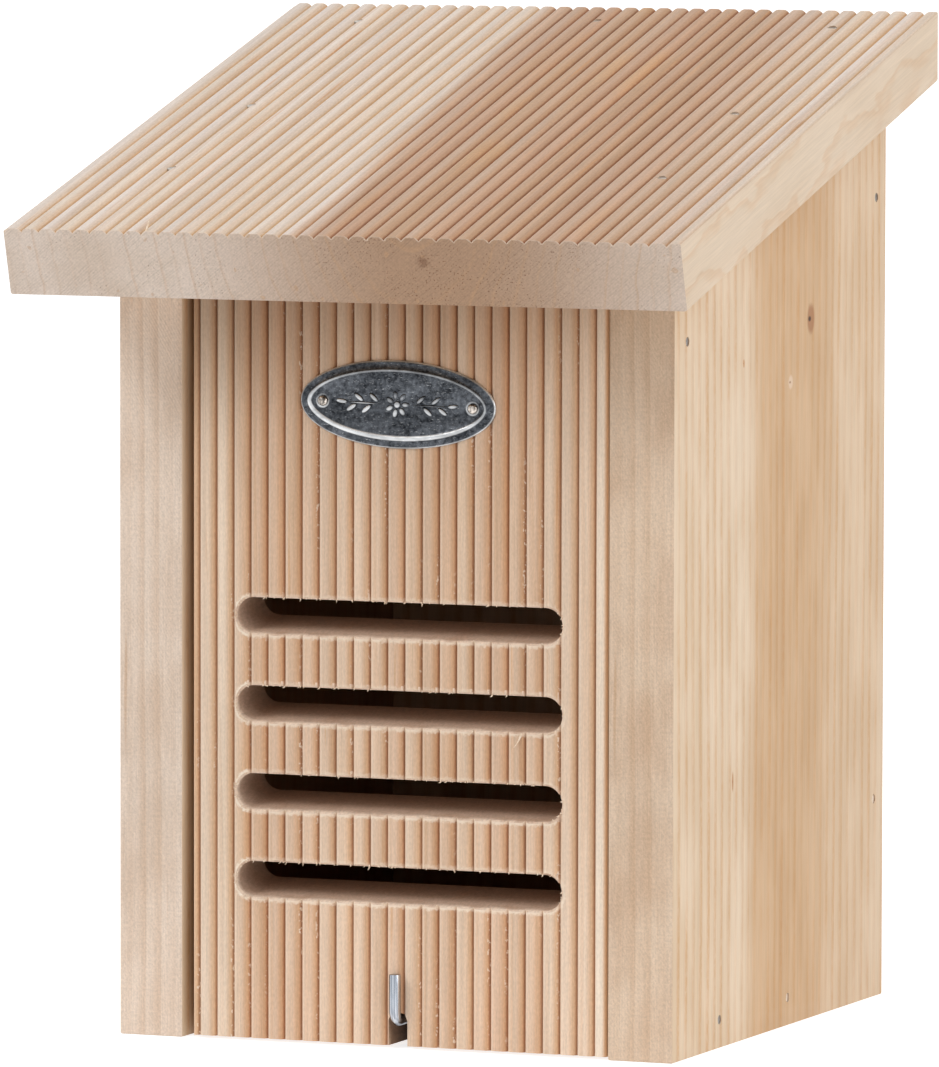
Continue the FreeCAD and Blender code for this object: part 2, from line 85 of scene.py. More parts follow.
def take(piece: Piece) -> Piece:
    """Leave edit mode and make one object the only selected and active one.

    Args:
        piece: Object to work on.

    Returns:
        The same object.
    """
    active = bpy.context.view_layer.objects.active
    if active is not None and active.mode != "OBJECT":
        bpy.ops.object.mode_set(mode="OBJECT")
    bpy.ops.object.select_all(action="DESELECT")
    piece.select_set(True)
    bpy.context.view_layer.objects.active = piece
    return piece


@contextmanager
def editing(piece: Piece, kind: Element = Element.FACE) -> Iterator[None]:
    """Edit mode on one object, with everything selected at the start.

    Args:
        piece: Object to edit.
        kind: Element that selections work on.
    """
    take(piece)
    bpy.ops.object.mode_set(mode="EDIT")
    bpy.ops.mesh.select_mode(type=kind.value)
    bpy.ops.mesh.select_all(action="SELECT")
    yield
    bpy.ops.object.mode_set(mode="OBJECT")


def pick(piece: Piece, kind: Element, test: Callable[[Vector, Vector], bool]) -> None:
    """Select, in edit mode, the elements that pass a test.

    Args:
        piece: Object in edit mode.
        kind: Element to select.
        test: Takes a point and a normal. An edge passes when both its ends do, a face by its middle.
    """
    bpy.ops.mesh.select_mode(type=kind.value)
    bpy.ops.mesh.select_all(action="DESELECT")
    bpy.ops.object.mode_set(mode="OBJECT")
    mesh = piece.data
    if kind is Element.FACE:
        for polygon in mesh.polygons:
            polygon.select = test(polygon.center, polygon.normal)
    else:
        passed = [test(vertex.co, vertex.normal) for vertex in mesh.vertices]
        if kind is Element.VERT:
            for vertex in mesh.vertices:
                vertex.select = passed[vertex.index]
        else:
            for edge in mesh.edges:
                edge.select = all(passed[index] for index in edge.vertices)
    bpy.ops.object.mode_set(mode="EDIT")


def pick_facing(piece: Piece, way: Floats) -> None:
    """Select, in edit mode, the faces that look one way."""
    pick(piece, Element.FACE, lambda point, normal: normal.dot(Vector(way)) > 0.9)


def apply_modifier(piece: Piece, kind: str, **settings: object) -> Piece:
    """Add a modifier, set it up and apply it.

    Args:
        piece: Object to change.
        kind: Modifier type.
        **settings: Properties of the modifier.

    Returns:
        The same object.
    """
    take(piece)
    modifier = piece.modifiers.new(kind.lower(), kind)
    for name, value in settings.items():
        setattr(modifier, name, value)
    bpy.ops.object.modifier_apply(modifier=modifier.name)
    return piece


def settle(piece: Piece, place: Matrix) -> Piece:
    """Put an object's place into its mesh.

    Args:
        piece: Object to place.
        place: From its own frame to the part's frame.

    Returns:
        The same object, at the origin.
    """
    take(piece)
    piece.matrix_basis = place @ piece.matrix_basis
    bpy.ops.object.transform_apply(location=True, rotation=True, scale=True)
    return piece


def added(scale: Floats = (1, 1, 1)) -> Piece:
    """Object that was just added, scaled, with its place put into its mesh."""
    bpy.context.object.scale = scale
    return settle(bpy.context.object, Matrix())


def join(pieces: Sequence[Piece]) -> Piece:
    """Join objects into the first of them and return it."""
    take(pieces[0])
    for piece in pieces[1:]:
        piece.select_set(True)
    if len(pieces) > 1:
        bpy.ops.object.join()
    return pieces[0]


def carve(piece: Piece, cutters: Sequence[Piece]) -> Piece:
    """Take cutters away from an object and remove them.

    Args:
        piece: Object to carve.
        cutters: Closed objects that don't meet each other.

    Returns:
        The carved object.
    """
    cutter = join(list(cutters))
    apply_modifier(piece, "BOOLEAN", operation="DIFFERENCE", object=cutter, solver="EXACT")
    bpy.data.objects.remove(cutter, do_unlink=True)
    return piece


def copy_of(piece: Piece) -> Piece:
    """Copy an object with a mesh of its own."""
    twin = piece.copy()
    twin.data = piece.data.copy()
    bpy.context.scene.collection.objects.link(twin)
    return twin


def extrude(x: float = 0.0, y: float = 0.0, z: float = 0.0) -> None:
    """Extrude what is selected in edit mode by an offset."""
    bpy.ops.mesh.extrude_region_move(TRANSFORM_OT_translate={"value": (x, y, z)})


def move(x: float = 0.0, y: float = 0.0, z: float = 0.0) -> None:
    """Move what is selected in edit mode by an offset."""
    bpy.ops.transform.translate(value=(x, y, z))


def sharpen(reach: float, radius: float) -> None:
    """Draw the selected round face of a shank down, in edit mode, and end it in a point."""
    point = 4 * radius
    extrude(z=point - reach)
    extrude(z=-point)
    bpy.ops.mesh.merge(type="CENTER")


def resize(factors: Floats, centre: Floats = (0, 0, 0)) -> None:
    """Scale what is selected in edit mode about a point."""
    bpy.ops.transform.resize(value=factors, center_override=centre)


def moved(place: Floats) -> Matrix:
    """Matrix that moves by an offset."""
    return Matrix.Translation(place)


def spun(angle: float, axis: str) -> Matrix:
    """Matrix that turns about an axis."""
    return Matrix.Rotation(angle, 4, axis)


def slice_off(point: Floats, normal: Floats, fill: bool = False) -> None:
    """Cut everything away, in edit mode, that lies past a plane, and fill the cut or not."""
    bpy.ops.mesh.select_all(action="SELECT")
    bpy.ops.mesh.bisect(
        plane_co=point, plane_no=normal, clear_outer=True, use_fill=fill, threshold=CLOSE)


def face_outwards(piece: Piece) -> Piece:
    """Merge doubles and turn every face outwards."""
    with editing(piece, Element.VERT):
        bpy.ops.mesh.remove_doubles(threshold=CLOSE)
        bpy.ops.mesh.select_all(action="SELECT")
        bpy.ops.mesh.normals_make_consistent(inside=False)
    return piece


def shade(piece: Piece, degrees: float = 32.0) -> Piece:
    """Smooth shading, with edges sharper than an angle kept."""
    take(piece)
    bpy.ops.object.shade_smooth_by_angle(angle=math.radians(degrees))
    return piece


def rod(radius: float, length: float, place: Matrix, sides: int) -> Piece:
    """Round cutter that reaches along its own +Z from its origin, put in its place."""
    bpy.ops.mesh.primitive_cylinder_add(
        vertices=sides, radius=radius, depth=length, location=(0, 0, length / 2))
    return settle(bpy.context.object, place)


def obround(length: float, width: float, depth: float, place: Matrix, sides: int = 56) -> Piece:
    """Round-ended bar along its own X, as deep as its own +Z.

    Args:
        length: End to end.
        width: Across, and the diameter of its ends.
        depth: Along +Z.
        place: From its own frame to the part's frame.
        sides: Sides of its two ends together.

    Returns:
        The new object.
    """
    bpy.ops.mesh.primitive_cylinder_add(
        vertices=sides, radius=width / 2, depth=depth, location=(0, 0, depth / 2),
        rotation=(0, 0, math.pi / sides))
    bar = added()
    with editing(bar, Element.VERT):
        for sign in (-1, 1):
            pick(bar, Element.VERT, lambda point, normal: point.x * sign > 0)
            move(x=sign * (length - width) / 2)
    return settle(bar, place)


def hand_over(piece: Piece, name: str, body: str, nodes: Sequence[str]) -> None:
    """Name a finished piece, let it ride on its body and stand for its nodes.

    Args:
        piece: Finished object.
        name: Its name.
        body: Body that it rides on.
        nodes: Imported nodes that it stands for.
    """
    piece.name = name
    piece.data.name = name
    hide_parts(*nodes)
    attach(piece, body)
    LOG.info("%s: %d faces, on %s", name, len(piece.data.polygons), body)


# The paint table: node trees, shared effects and finishes


def srgb(red: int, green: int, blue: int) -> Colour:
    """Linear colour from a display colour of 0 to 255."""
    def linear(value: float) -> float:
        """Linear share of one channel."""
        return value / 12.92 if value <= 0.04045 else ((value + 0.055) / 1.055) ** 2.4
    return (*(linear(channel / 255) for channel in (red, green, blue)), 1.0)


class Value:
    """What a node gives, and the steps that finishes take from it, each one a new node of its tree."""

    def __init__(self, bench: "Bench", socket: Socket) -> None:
        """Hold one output of a node."""
        self.bench = bench
        self.socket = socket

    def __add__(self, other: object) -> "Value":
        """Sum."""
        return self.bench.math("ADD", self, other)

    def __sub__(self, other: object) -> "Value":
        """Difference."""
        return self.bench.math("SUBTRACT", self, other)

    def __rsub__(self, other: float) -> "Value":
        """Difference from a number."""
        return self.bench.math("SUBTRACT", other, self)

    def __mul__(self, other: object) -> "Value":
        """Product."""
        return self.bench.math("MULTIPLY", self, other)

    def __truediv__(self, other: object) -> "Value":
        """Quotient."""
        return self.bench.math("DIVIDE", self, other)

    def __pow__(self, other: float) -> "Value":
        """Power."""
        return self.bench.math("POWER", self, other)

    def __abs__(self) -> "Value":
        """Amount without its sign."""
        return self.bench.math("ABSOLUTE", self)

    def fract(self) -> "Value":
        """Part after the point."""
        return self.bench.math("FRACT", self)

    def floor(self) -> "Value":
        """Whole number below."""
        return self.bench.math("FLOOR", self)

    def hypot(self, other: "Value") -> "Value":
        """Length of the flat vector of this and another."""
        return self.bench.math("SQRT", self * self + other * other)

    def most(self, *others: object) -> "Value":
        """Largest of this and others."""
        most = self
        for other in others:
            most = self.bench.math("MAXIMUM", most, other)
        return most

    def ease(self, low: object, high: object, bottom: object = 0.0, top: object = 1.0) -> "Value":
        """Smooth step from bottom to top as this goes from low to high."""
        entries = dict(enumerate((self, low, high, bottom, top)))
        return self.bench.made("ShaderNodeMapRange", entries, interpolation_type="SMOOTHSTEP")

    def chance(self) -> "Value":
        """Random number from 0 to 1 for this whole number."""
        return self.bench.made("ShaderNodeTexWhiteNoise", {"W": self}, noise_dimensions="1D")

    def split(self) -> tuple["Value", ...]:
        """X, Y and Z of this vector."""
        node = self.bench.node("ShaderNodeSeparateXYZ")
        self.bench.feed(node.inputs[0], self)
        return tuple(Value(self.bench, output) for output in node.outputs)

    def scaled(self, factors: Floats, shift: object = (0, 0, 0)) -> "Value":
        """This vector times factors plus a shift."""
        entries = {0: self, 1: factors, 2: shift}
        return self.bench.made("ShaderNodeVectorMath", entries, operation="MULTIPLY_ADD")

    def noise(self, spots: float | tuple = 1.0, detail: float = 2.0, rough: float = 0.5) -> "Value":
        """Soft noise from 0 to 1 at this place, by its spots in a metre: all ways, or for X, Y and Z."""
        place = self.scaled(spots if isinstance(spots, tuple) else (spots,) * 3)
        entries = {"Vector": place, "Scale": 1.0, "Detail": detail, "Roughness": rough}
        return self.bench.made("ShaderNodeTexNoise", entries)

    def mix(self, first: object, second: object, blend: str = "MIX") -> "Value":
        """Colour between two, by this amount."""
        entries = {0: self, 6: first, 7: second}
        return self.bench.made("ShaderNodeMix", entries, 2, data_type="RGBA", blend_type=blend)

    def times(self, other: object) -> "Value":
        """This colour times another."""
        entries = {0: 1.0, 6: self, 7: other}
        return self.bench.made("ShaderNodeMix", entries, 2, data_type="RGBA", blend_type="MULTIPLY")

    def tint(self, factor: "Value") -> "Value":
        """This colour times one factor."""
        return self.times(self.bench.vector(factor, factor, factor))

    def bump(self, strength: float, depth: float) -> "Value":
        """Normal from this height, with the depth that its 0 to 1 stands for."""
        entries = {"Strength": strength, "Distance": depth, "Height": self}
        return self.bench.made("ShaderNodeBump", entries)


Values = dict[str, Value]


class Bench:
    """Node tree with short calls for the nodes that the finishes use."""

    def __init__(self, tree: bpy.types.NodeTree) -> None:
        """Work on one tree."""
        self.tree = tree

    def node(self, kind: str, **settings: object) -> bpy.types.Node:
        """Add a node and set its properties."""
        made = self.tree.nodes.new(kind)
        for name, value in settings.items():
            setattr(made, name, value)
        return made

    def feed(self, socket: Socket, value: object) -> None:
        """Link a value to a socket, or set its constant."""
        if isinstance(value, Value):
            self.tree.links.new(value.socket, socket)
        else:
            socket.default_value = value

    def made(self, kind: str, values: dict, output: int | str = 0, **settings: object) -> Value:
        """Add a node and feed it.

        Args:
            kind: Node type.
            values: Its inputs by index or name.
            output: Index or name of the output that counts.
            **settings: Properties of the node.

        Returns:
            That output.
        """
        node = self.node(kind, **settings)
        for key, value in values.items():
            self.feed(node.inputs[key], value)
        return Value(self, node.outputs[output])

    def math(self, operation: str, *values: object) -> Value:
        """Math node on values or numbers."""
        return self.made("ShaderNodeMath", dict(enumerate(values)), operation=operation)

    def vector(self, x: object, y: object, z: object) -> Value:
        """Vector from three values."""
        return self.made("ShaderNodeCombineXYZ", {0: x, 1: y, 2: z})

    def object_place(self) -> Value:
        """Place in the part's frame, in metres."""
        return self.made("ShaderNodeTexCoord", {}, "Object")

    def seen(self) -> Value:
        """1 for what the camera sees, straight or in a mirror or a glass."""
        kinds = ("Camera", "Glossy", "Transmission")
        first, *others = (self.made("ShaderNodeLightPath", {}, f"Is {kind} Ray") for kind in kinds)
        return first.most(*others)

    def surface(self, **sockets: object) -> None:
        """Principled shader with named sockets, and the tree's output."""
        named = {name.replace("_", " "): value for name, value in sockets.items()}
        shader = self.made("ShaderNodeBsdfPrincipled", named)
        self.feed(self.node("ShaderNodeOutputMaterial").inputs["Surface"], shader)


def new_material(name: str) -> tuple[Material, Bench]:
    """Empty node material and the bench to fill it on."""
    material = bpy.data.materials.new(name)
    material.use_nodes = True
    material.node_tree.nodes.clear()
    return material, Bench(material.node_tree)


def board_place(bench: Bench, place: Matrix) -> Value:
    """Place on a board, in metres: X across it, Y along its grain, Z through it, from its own frame."""
    back = place.inverted()
    return bench.made("ShaderNodeMapping", {
        "Vector": bench.object_place(), "Rotation": back.to_euler("XYZ"), "Location": back.translation})


class Effect:
    """Shader node group that several finishes share, built at its first use."""

    name = ""
    inputs: tuple[tuple[str, str], ...] = ()
    outputs: tuple[str, ...] = ()

    def __init__(self) -> None:
        """Start with no tree."""
        self.tree: bpy.types.NodeTree | None = None

    def wire(self, bench: Bench, given: Values) -> Values:
        """Fill the group and return its outputs by name."""
        raise NotImplementedError

    def build(self) -> bpy.types.NodeTree:
        """Make the group with its sockets."""
        tree = bpy.data.node_groups.new(self.name, "ShaderNodeTree")
        for label, kind in self.inputs:
            tree.interface.new_socket(label, in_out="INPUT", socket_type=f"NodeSocket{kind}")
        for label in self.outputs:
            tree.interface.new_socket(label, in_out="OUTPUT", socket_type="NodeSocketFloat")
        bench = Bench(tree)
        source = bench.node("NodeGroupInput").outputs
        made = self.wire(bench, {label: Value(bench, source[label]) for label, _ in self.inputs})
        sink = bench.node("NodeGroupOutput").inputs
        for label, value in made.items():
            bench.feed(sink[label], value)
        return tree

    def on(self, bench: Bench, **values: object) -> Values:
        """Place the group in a material.

        Args:
            bench: Tree of the material.
            **values: Its inputs, with underscores for spaces.

        Returns:
            Its outputs by name.
        """
        self.tree = self.tree or self.build()
        made = bench.node("ShaderNodeGroup", node_tree=self.tree)
        for label, value in values.items():
            bench.feed(made.inputs[label.replace("_", " ")], value)
        return {label: Value(bench, made.outputs[label]) for label in self.outputs}


class Grain(Effect):
    """Long grain of a soft pale wood: growth lines, fibres and broad cloudy tone."""

    name = "long_grain"
    inputs = (("Place", "Vector"), ("Ring Pitch", "Float"), ("Ring Lean", "Float"))
    outputs = ("Late", "Line", "Fibre", "Streak", "Cloud", "Figure", "Contour")

    def wire(self, bench: Bench, given: Values) -> Values:
        """Fill the group."""
        place = given["Place"]
        across, _, through = place.split()
        wander = place.noise((14, 3.5, 14))
        ring = through * given["Ring Lean"] + across + wander * (9 * MM)
        uneven = bench.vector(ring * 130.0, 0.0, 0.0).noise(detail=1.0)
        turns = ring / given["Ring Pitch"] + uneven * 0.4
        phase = turns.fract()
        weight = turns.floor().chance()
        late = phase.ease(0.2, 0.86) * phase.ease(0.9, 1.0, 1.0, 0.0)
        figure = place.noise((75, 24, 75), 3.0, 0.55)
        grit = place.noise((1500, 420, 1500), 2.0, 0.65)
        line = phase.ease(0.3, 0.74) * phase.ease(0.98, 0.8) * (weight * 0.5 + 0.5)
        line = line * figure.ease(0.7, 0.42, 0.3, 1.0) * grit.ease(0.3, 0.62, 0.5, 1.1)
        hill = (through * 60.0 + place.noise((36, 13, 36), 4.0) * 5.0).fract()
        return {
            "Late": late * (weight * 0.75 + 0.25),
            "Line": line,
            "Fibre": place.noise((2600, 70, 2600), 2.0, 0.6),
            "Streak": place.noise((420, 7, 420), 3.0, 0.6),
            "Cloud": place.noise((26, 8, 26), 3.0),
            "Figure": figure,
            "Contour": hill.ease(0.66, 0.9) * hill.ease(0.99, 0.92),
        }


class SawMarks(Effect):
    """Cross-cut face: fine slanting saw lines, open pores and a mottled tone."""

    name = "saw_marks"
    inputs = (("Place", "Vector"), ("Slant", "Float"), ("Pitch", "Float"))
    outputs = ("Lines", "Pores", "Specks", "Pits", "Mottle", "Cloud")

    def wire(self, bench: Bench, given: Values) -> Values:
        """Fill the group."""
        place = given["Place"]
        across, _, through = place.split()
        sway = place.noise(60, 1.0)
        turns = (across * given["Slant"] + through + sway * (2 * MM)) / given["Pitch"]
        stroke = turns.floor().chance()
        wave = bench.math("SINE", turns * math.tau) * 0.5 + 0.5
        fade = place.noise(150).ease(0.25, 0.55, 0.25, 1.0)
        speck = place.noise(1900, 0.0)
        where = place.noise(70)
        return {
            "Lines": wave * (stroke * 0.7 + 0.3) * fade,
            "Pores": speck.ease(0.69, 0.76) * where.ease(0.4, 0.65),
            "Specks": speck.ease(0.66, 0.74) * where.ease(0.36, 0.56),
            "Pits": place.noise(420, 0.0).ease(0.76, 0.8),
            "Mottle": place.noise(1300, 3.0, 0.7),
            "Cloud": place.noise((38, 24, 60), 3.0),
        }


class RibTone(Effect):
    """Ribbed face: a tone for each rib, masks for painted shade in the grooves and on the right flanks,
    for a painted highlight with pale lifted fibres on the left shoulders, and torn fibres.
    """

    name = "rib_tone"
    inputs = (("Place", "Vector"), ("Pitch", "Float"), ("Shift", "Float"), ("Crest", "Float"))
    outputs = ("Tone", "Blush", "Drift", "Groove", "Flank", "Shoulder", "Fleck", "Offset")

    def wire(self, bench: Bench, given: Values) -> Values:
        """Fill the group."""
        place = given["Place"]
        across, _, through = place.split()
        turns = (across - given["Shift"]) / given["Pitch"] + 0.5
        number = turns.floor()
        phase = turns.fract() - 0.5
        drift = place.scaled((0, 11, 0), bench.vector(number, 0.0, number)).noise()
        on_top = (given["Crest"] - through).ease(2.5 * MM, 2.0 * MM)
        ragged = phase + (place.noise((300, 700, 300), 3.0, 0.7) - 0.5) * 0.07
        left = ragged.ease(-0.46, -0.49)
        right = ragged.ease(0.36, 0.47)
        crumb = place.noise((1100, 800, 1100), 2.0, 0.6)
        torn = place.noise((150, 20, 150))
        fleck = crumb.ease(0.56, 0.64) * torn.ease(0.52, 0.66)
        return {
            "Tone": drift * 0.8 + (number.chance() * 0.9 - 0.4),
            "Blush": (number + 37.0).chance(),
            "Drift": drift,
            # Painted shade on both sides of each groove
            "Groove": left.most(right) * on_top,
            # Painted shade on the right flank of each rib, turned away from the key light
            "Flank": phase.ease(-0.05, 0.4) * on_top,
            # Painted highlight on the left shoulder of each rib, partly pale lifted fibres
            "Shoulder": abs(phase + 0.37).ease(0.11, 0.03) * on_top,
            "Fleck": fleck * phase.ease(0.33, 0.4).most(left),
            "Offset": (number + 71.0).chance() - 0.5,
        }


class ZincSkin(Effect):
    """Zinc that has dulled: cloudy patches, fine scratches and small pits."""

    name = "zinc_skin"
    inputs = (("Place", "Vector"), ("Size", "Float"))
    outputs = ("Patch", "Scratch", "Pit")

    def wire(self, bench: Bench, given: Values) -> Values:
        """Fill the group."""
        place = bench.made("ShaderNodeVectorMath", {0: given["Place"], "Scale": given["Size"]},
                           operation="SCALE")
        return {
            "Patch": place.noise(0.5, 5.0, 0.65),
            "Scratch": place.noise((0.6, 9.0, 3.0), 3.0, 0.7),
            "Pit": place.noise(3.0, 1.0).ease(0.68, 0.78),
        }


GRAIN = Grain()
SAW_MARKS = SawMarks()
RIB_TONE = RibTone()
ZINC_SKIN = ZincSkin()


@dataclass(frozen=True)
class PaintedLightFade:
    """Painted light along a board: a painted lift of light at its lower end and a painted, redder shadow
    under the roof at its upper end, as factors.
    """

    # low and low_reach: painted light at the lower end; high, high_from and high_to: painted shadow under
    # the roof; redder: how much redder that shadow turns
    low: float = 1.0
    low_reach: float = 70 * MM
    high: float = 1.0
    high_from: float = 150 * MM
    high_to: float = 205 * MM
    redder: float = 1.0

    def on(self, colour: Value, along: Value) -> Value:
        """Paint the painted light and shadow over a colour.

        Args:
            colour: Colour below it.
            along: Place along the board.

        Returns:
            The colour with it.
        """
        lower = along.ease(0.0, self.low_reach, self.low, 1.0)
        level = lower * along.ease(self.high_from, self.high_to, 1.0, self.high)
        blue = 2.0 * self.redder - 1.0
        return colour.times(colour.bench.vector(level, level ** self.redder, level ** blue))


@dataclass(frozen=True)
class Knot:
    """Small knot on a board's face: its middle across and along the board, and its half sizes."""

    across: float
    along: float
    half_width: float = 2.5 * MM
    half_length: float = 3.6 * MM
    red: Colour = srgb(166, 116, 78)
    eye: Colour = srgb(56, 34, 24)

    def on(self, colour: Value, across: Value, along: Value, fibre: Value) -> Value:
        """Paint the knot over a colour.

        Args:
            colour: Colour below the knot.
            across: Place across the board.
            along: Place along the board.
            fibre: Fine noise that frays its outline.

        Returns:
            The colour with the knot.
        """
        aside = (across - self.across) / self.half_width
        ahead = (along - self.along) / self.half_length
        far = aside.hypot(ahead) + fibre * 0.5
        colour = far.ease(1.0, 1.6, 0.85, 0.0).mix(colour, self.red)
        near = (aside + 0.35).hypot(ahead * 2.2)
        return near.ease(0.2, 0.6, 0.95, 0.0).mix(colour, self.eye)


@dataclass(frozen=True)
class PlankFace:
    """Planed long-grain face of a plain board, with painted shade where it looks into the box."""

    name: str
    place: Matrix
    early: Colour = srgb(227, 203, 175)
    late: Colour = srgb(204, 147, 84)
    heart: Colour = srgb(203, 164, 122)
    ring_pitch: float = 5.1 * MM
    ring_lean: float = 0.25
    line_amount: float = 0.54
    contour_amount: float = 0.0
    figure_amount: float = 0.055
    # Painted shade on the side inside the box: where it starts across the board, and the colour that it
    # darkens by
    inside_shade_from: float | None = None
    dark: Colour = srgb(196, 170, 150)
    heart_from: float = 60 * MM
    heart_to: float = 108 * MM
    heart_edge: float = 14 * MM
    heart_amount: float = 0.75
    heart_rest: float = 0.36
    knots: tuple[Knot, ...] = ()
    fade: PaintedLightFade = PaintedLightFade()

    def make(self) -> Material:
        """Build the material."""
        material, bench = new_material(self.name)
        place = board_place(bench, self.place)
        across, along, _ = place.split()
        grain = GRAIN.on(bench, Place=place, Ring_Pitch=self.ring_pitch, Ring_Lean=self.ring_lean)
        wavy = across + grain["Cloud"] * (20 * MM)
        inner = wavy.ease(self.heart_from, self.heart_from + self.heart_edge)
        outer = wavy.ease(self.heart_to, self.heart_to + 2 * self.heart_edge, 1.0, self.heart_rest)
        colour = (inner * outer * self.heart_amount).mix(self.early, self.heart)
        colour = (grain["Line"] * self.line_amount).mix(colour, self.late)
        if self.contour_amount > 0.0:
            colour = (grain["Contour"] * self.contour_amount).mix(colour, self.late)
        sheen = grain["Figure"].ease(0.3, 0.7, 1.0 - self.figure_amount, 1.0 + self.figure_amount)
        colour = colour.times(bench.vector(sheen, sheen ** 1.4, sheen ** 2.0))
        colour = colour.tint(grain["Streak"].ease(0.3, 0.7, 0.98, 1.02))
        colour = colour.tint(grain["Fibre"].ease(0.25, 0.75, 0.94, 1.04))
        for knot in self.knots:
            colour = knot.on(colour, across, along, grain["Fibre"])
        colour = self.fade.on(colour, along)
        # Painted shade inside the box, from its start across the board onwards
        if self.inside_shade_from is not None:
            rough = across.ease(self.inside_shade_from, self.inside_shade_from + 5 * MM)
            colour = rough.mix(colour, self.dark, "MULTIPLY")
        bench.surface(Base_Color=colour, Roughness=grain["Streak"].ease(0.2, 0.8, 0.66, 0.54),
                      Specular_IOR_Level=0.3, Normal=grain["Fibre"].bump(0.2, 0.06 * MM))
        return material


class SawCut(Enum):
    """What a saw went through: a board's end, or its long narrow edge."""

    END = "end"
    EDGE = "edge"


@dataclass(frozen=True)
class SawnFace:
    """Sawn face: growth rings on a board's end, faint long grain on its edge, and slanting saw marks."""

    name: str
    place: Matrix
    cut: SawCut = SawCut.END
    pale: Colour = srgb(226, 208, 190)
    dull: Colour = srgb(210, 186, 162)
    heart: Colour = srgb(178, 144, 114)
    line: Colour = srgb(190, 150, 112)
    pore: Colour = srgb(118, 82, 60)
    torn: Colour = srgb(240, 220, 198)
    cloud_amount: float = 0.6
    slant: float = -0.8
    saw_pitch: float = 0.85 * MM
    saw_amount: float = 0.3
    heart_middle: float = 0.0
    heart_half: float = 8 * MM
    heart_reach: float = 1 * MM
    heart_amount: float = 0.0
    pith: Floats = (20 * MM, 40 * MM)
    ring_pitch: float = 4.2 * MM
    ring_amount: float = 0.4
    blotch: Floats | None = None
    ribs: "RibbedStock | None" = None
    fade: PaintedLightFade = PaintedLightFade()

    def make(self) -> Material:
        """Build the material."""
        material, bench = new_material(self.name)
        place = board_place(bench, self.place)
        across, along, through = place.split()
        flat = place if self.cut is SawCut.END else bench.vector(along, across, through)
        saw = SAW_MARKS.on(bench, Place=flat, Slant=self.slant, Pitch=self.saw_pitch)
        tone = saw["Cloud"].ease(0.35, 0.7) * self.cloud_amount
        colour = tone.mix(self.pale, self.dull)
        if self.cut is SawCut.END:
            colour = self.with_rings(colour, saw, across, through)
        else:
            grain = GRAIN.on(bench, Place=place, Ring_Pitch=self.ring_pitch, Ring_Lean=1.0)
            colour = (grain["Late"] * self.ring_amount).mix(colour, self.line)
            colour = colour.tint(grain["Fibre"].ease(0.25, 0.75, 0.94, 1.06))
            dash = place.noise((420, 16, 420), 1.0)
            colour = dash.ease(0.66, 0.76, 0.0, 0.45).mix(colour, self.line)
        stroke = saw["Lines"] * (-0.22 * self.saw_amount) + (1.0 + 0.05 * self.saw_amount)
        colour = colour.tint(stroke)
        colour = colour.tint(saw["Mottle"].ease(0.25, 0.75, 0.87, 1.1))
        if self.cut is SawCut.EDGE:
            colour = self.fade.on(colour, along)
        height = saw["Lines"] * 0.8 + saw["Mottle"]
        bench.surface(Base_Color=colour, Roughness=saw["Mottle"].ease(0.2, 0.8, 0.62, 0.76),
                      Specular_IOR_Level=0.22, Normal=height.bump(0.4, 0.15 * MM))
        return material

    def with_rings(self, colour: Value, saw: Values, across: Value, through: Value) -> Value:
        """Paint the heart, the growth rings and the blotch of a board's end, and its ribs' torn outline.

        Args:
            colour: Colour below them.
            saw: Outputs of the saw marks.
            across: Place across the board.
            through: Place through the board.

        Returns:
            The colour with them.
        """
        aside = abs(across - self.heart_middle) + (saw["Cloud"] - 0.5) * (24 * MM)
        heart = aside.ease(self.heart_half, self.heart_half + self.heart_reach, self.heart_amount, 0.0)
        colour = heart.mix(colour, self.heart)
        colour = (saw["Specks"] * heart.ease(0.3, 0.9) * 0.6).mix(colour, self.pore)
        far = (across - self.pith[0]).hypot((through - self.pith[1]) * 0.55) + saw["Cloud"] * (5 * MM)
        turns = far / self.ring_pitch
        phase = turns.fract()
        weight = turns.floor().chance()
        ring = phase.ease(0.72, 0.93) * phase.ease(1.0, 0.94)
        colour = (ring * (weight * self.ring_amount)).mix(colour, self.line)
        colour = (saw["Pits"] * 0.4).mix(colour, self.line)
        colour = (saw["Pores"] * 0.4).mix(colour, self.pore)
        if self.blotch is not None:
            x, z, size = self.blotch
            away = ((across - x) / size).hypot((through - z) / size) + saw["Mottle"] * 1.1
            colour = away.ease(0.6, 1.5, 0.6, 0.0).mix(colour, self.pore)
        if self.ribs is not None:
            turns = (across - self.ribs.rib_shift) / self.ribs.pitch + 0.5
            phase = abs(turns.fract() - 0.5)
            crest = self.ribs.thickness
            level = phase.ease(0.18, 0.56, crest, crest - 1.15 * self.ribs.groove)
            below = level - through + saw["Mottle"] * (0.7 * MM)
            colour = below.ease(0.62 * MM, 0.3 * MM, 0.0, 0.5).mix(colour, self.torn)
        return colour


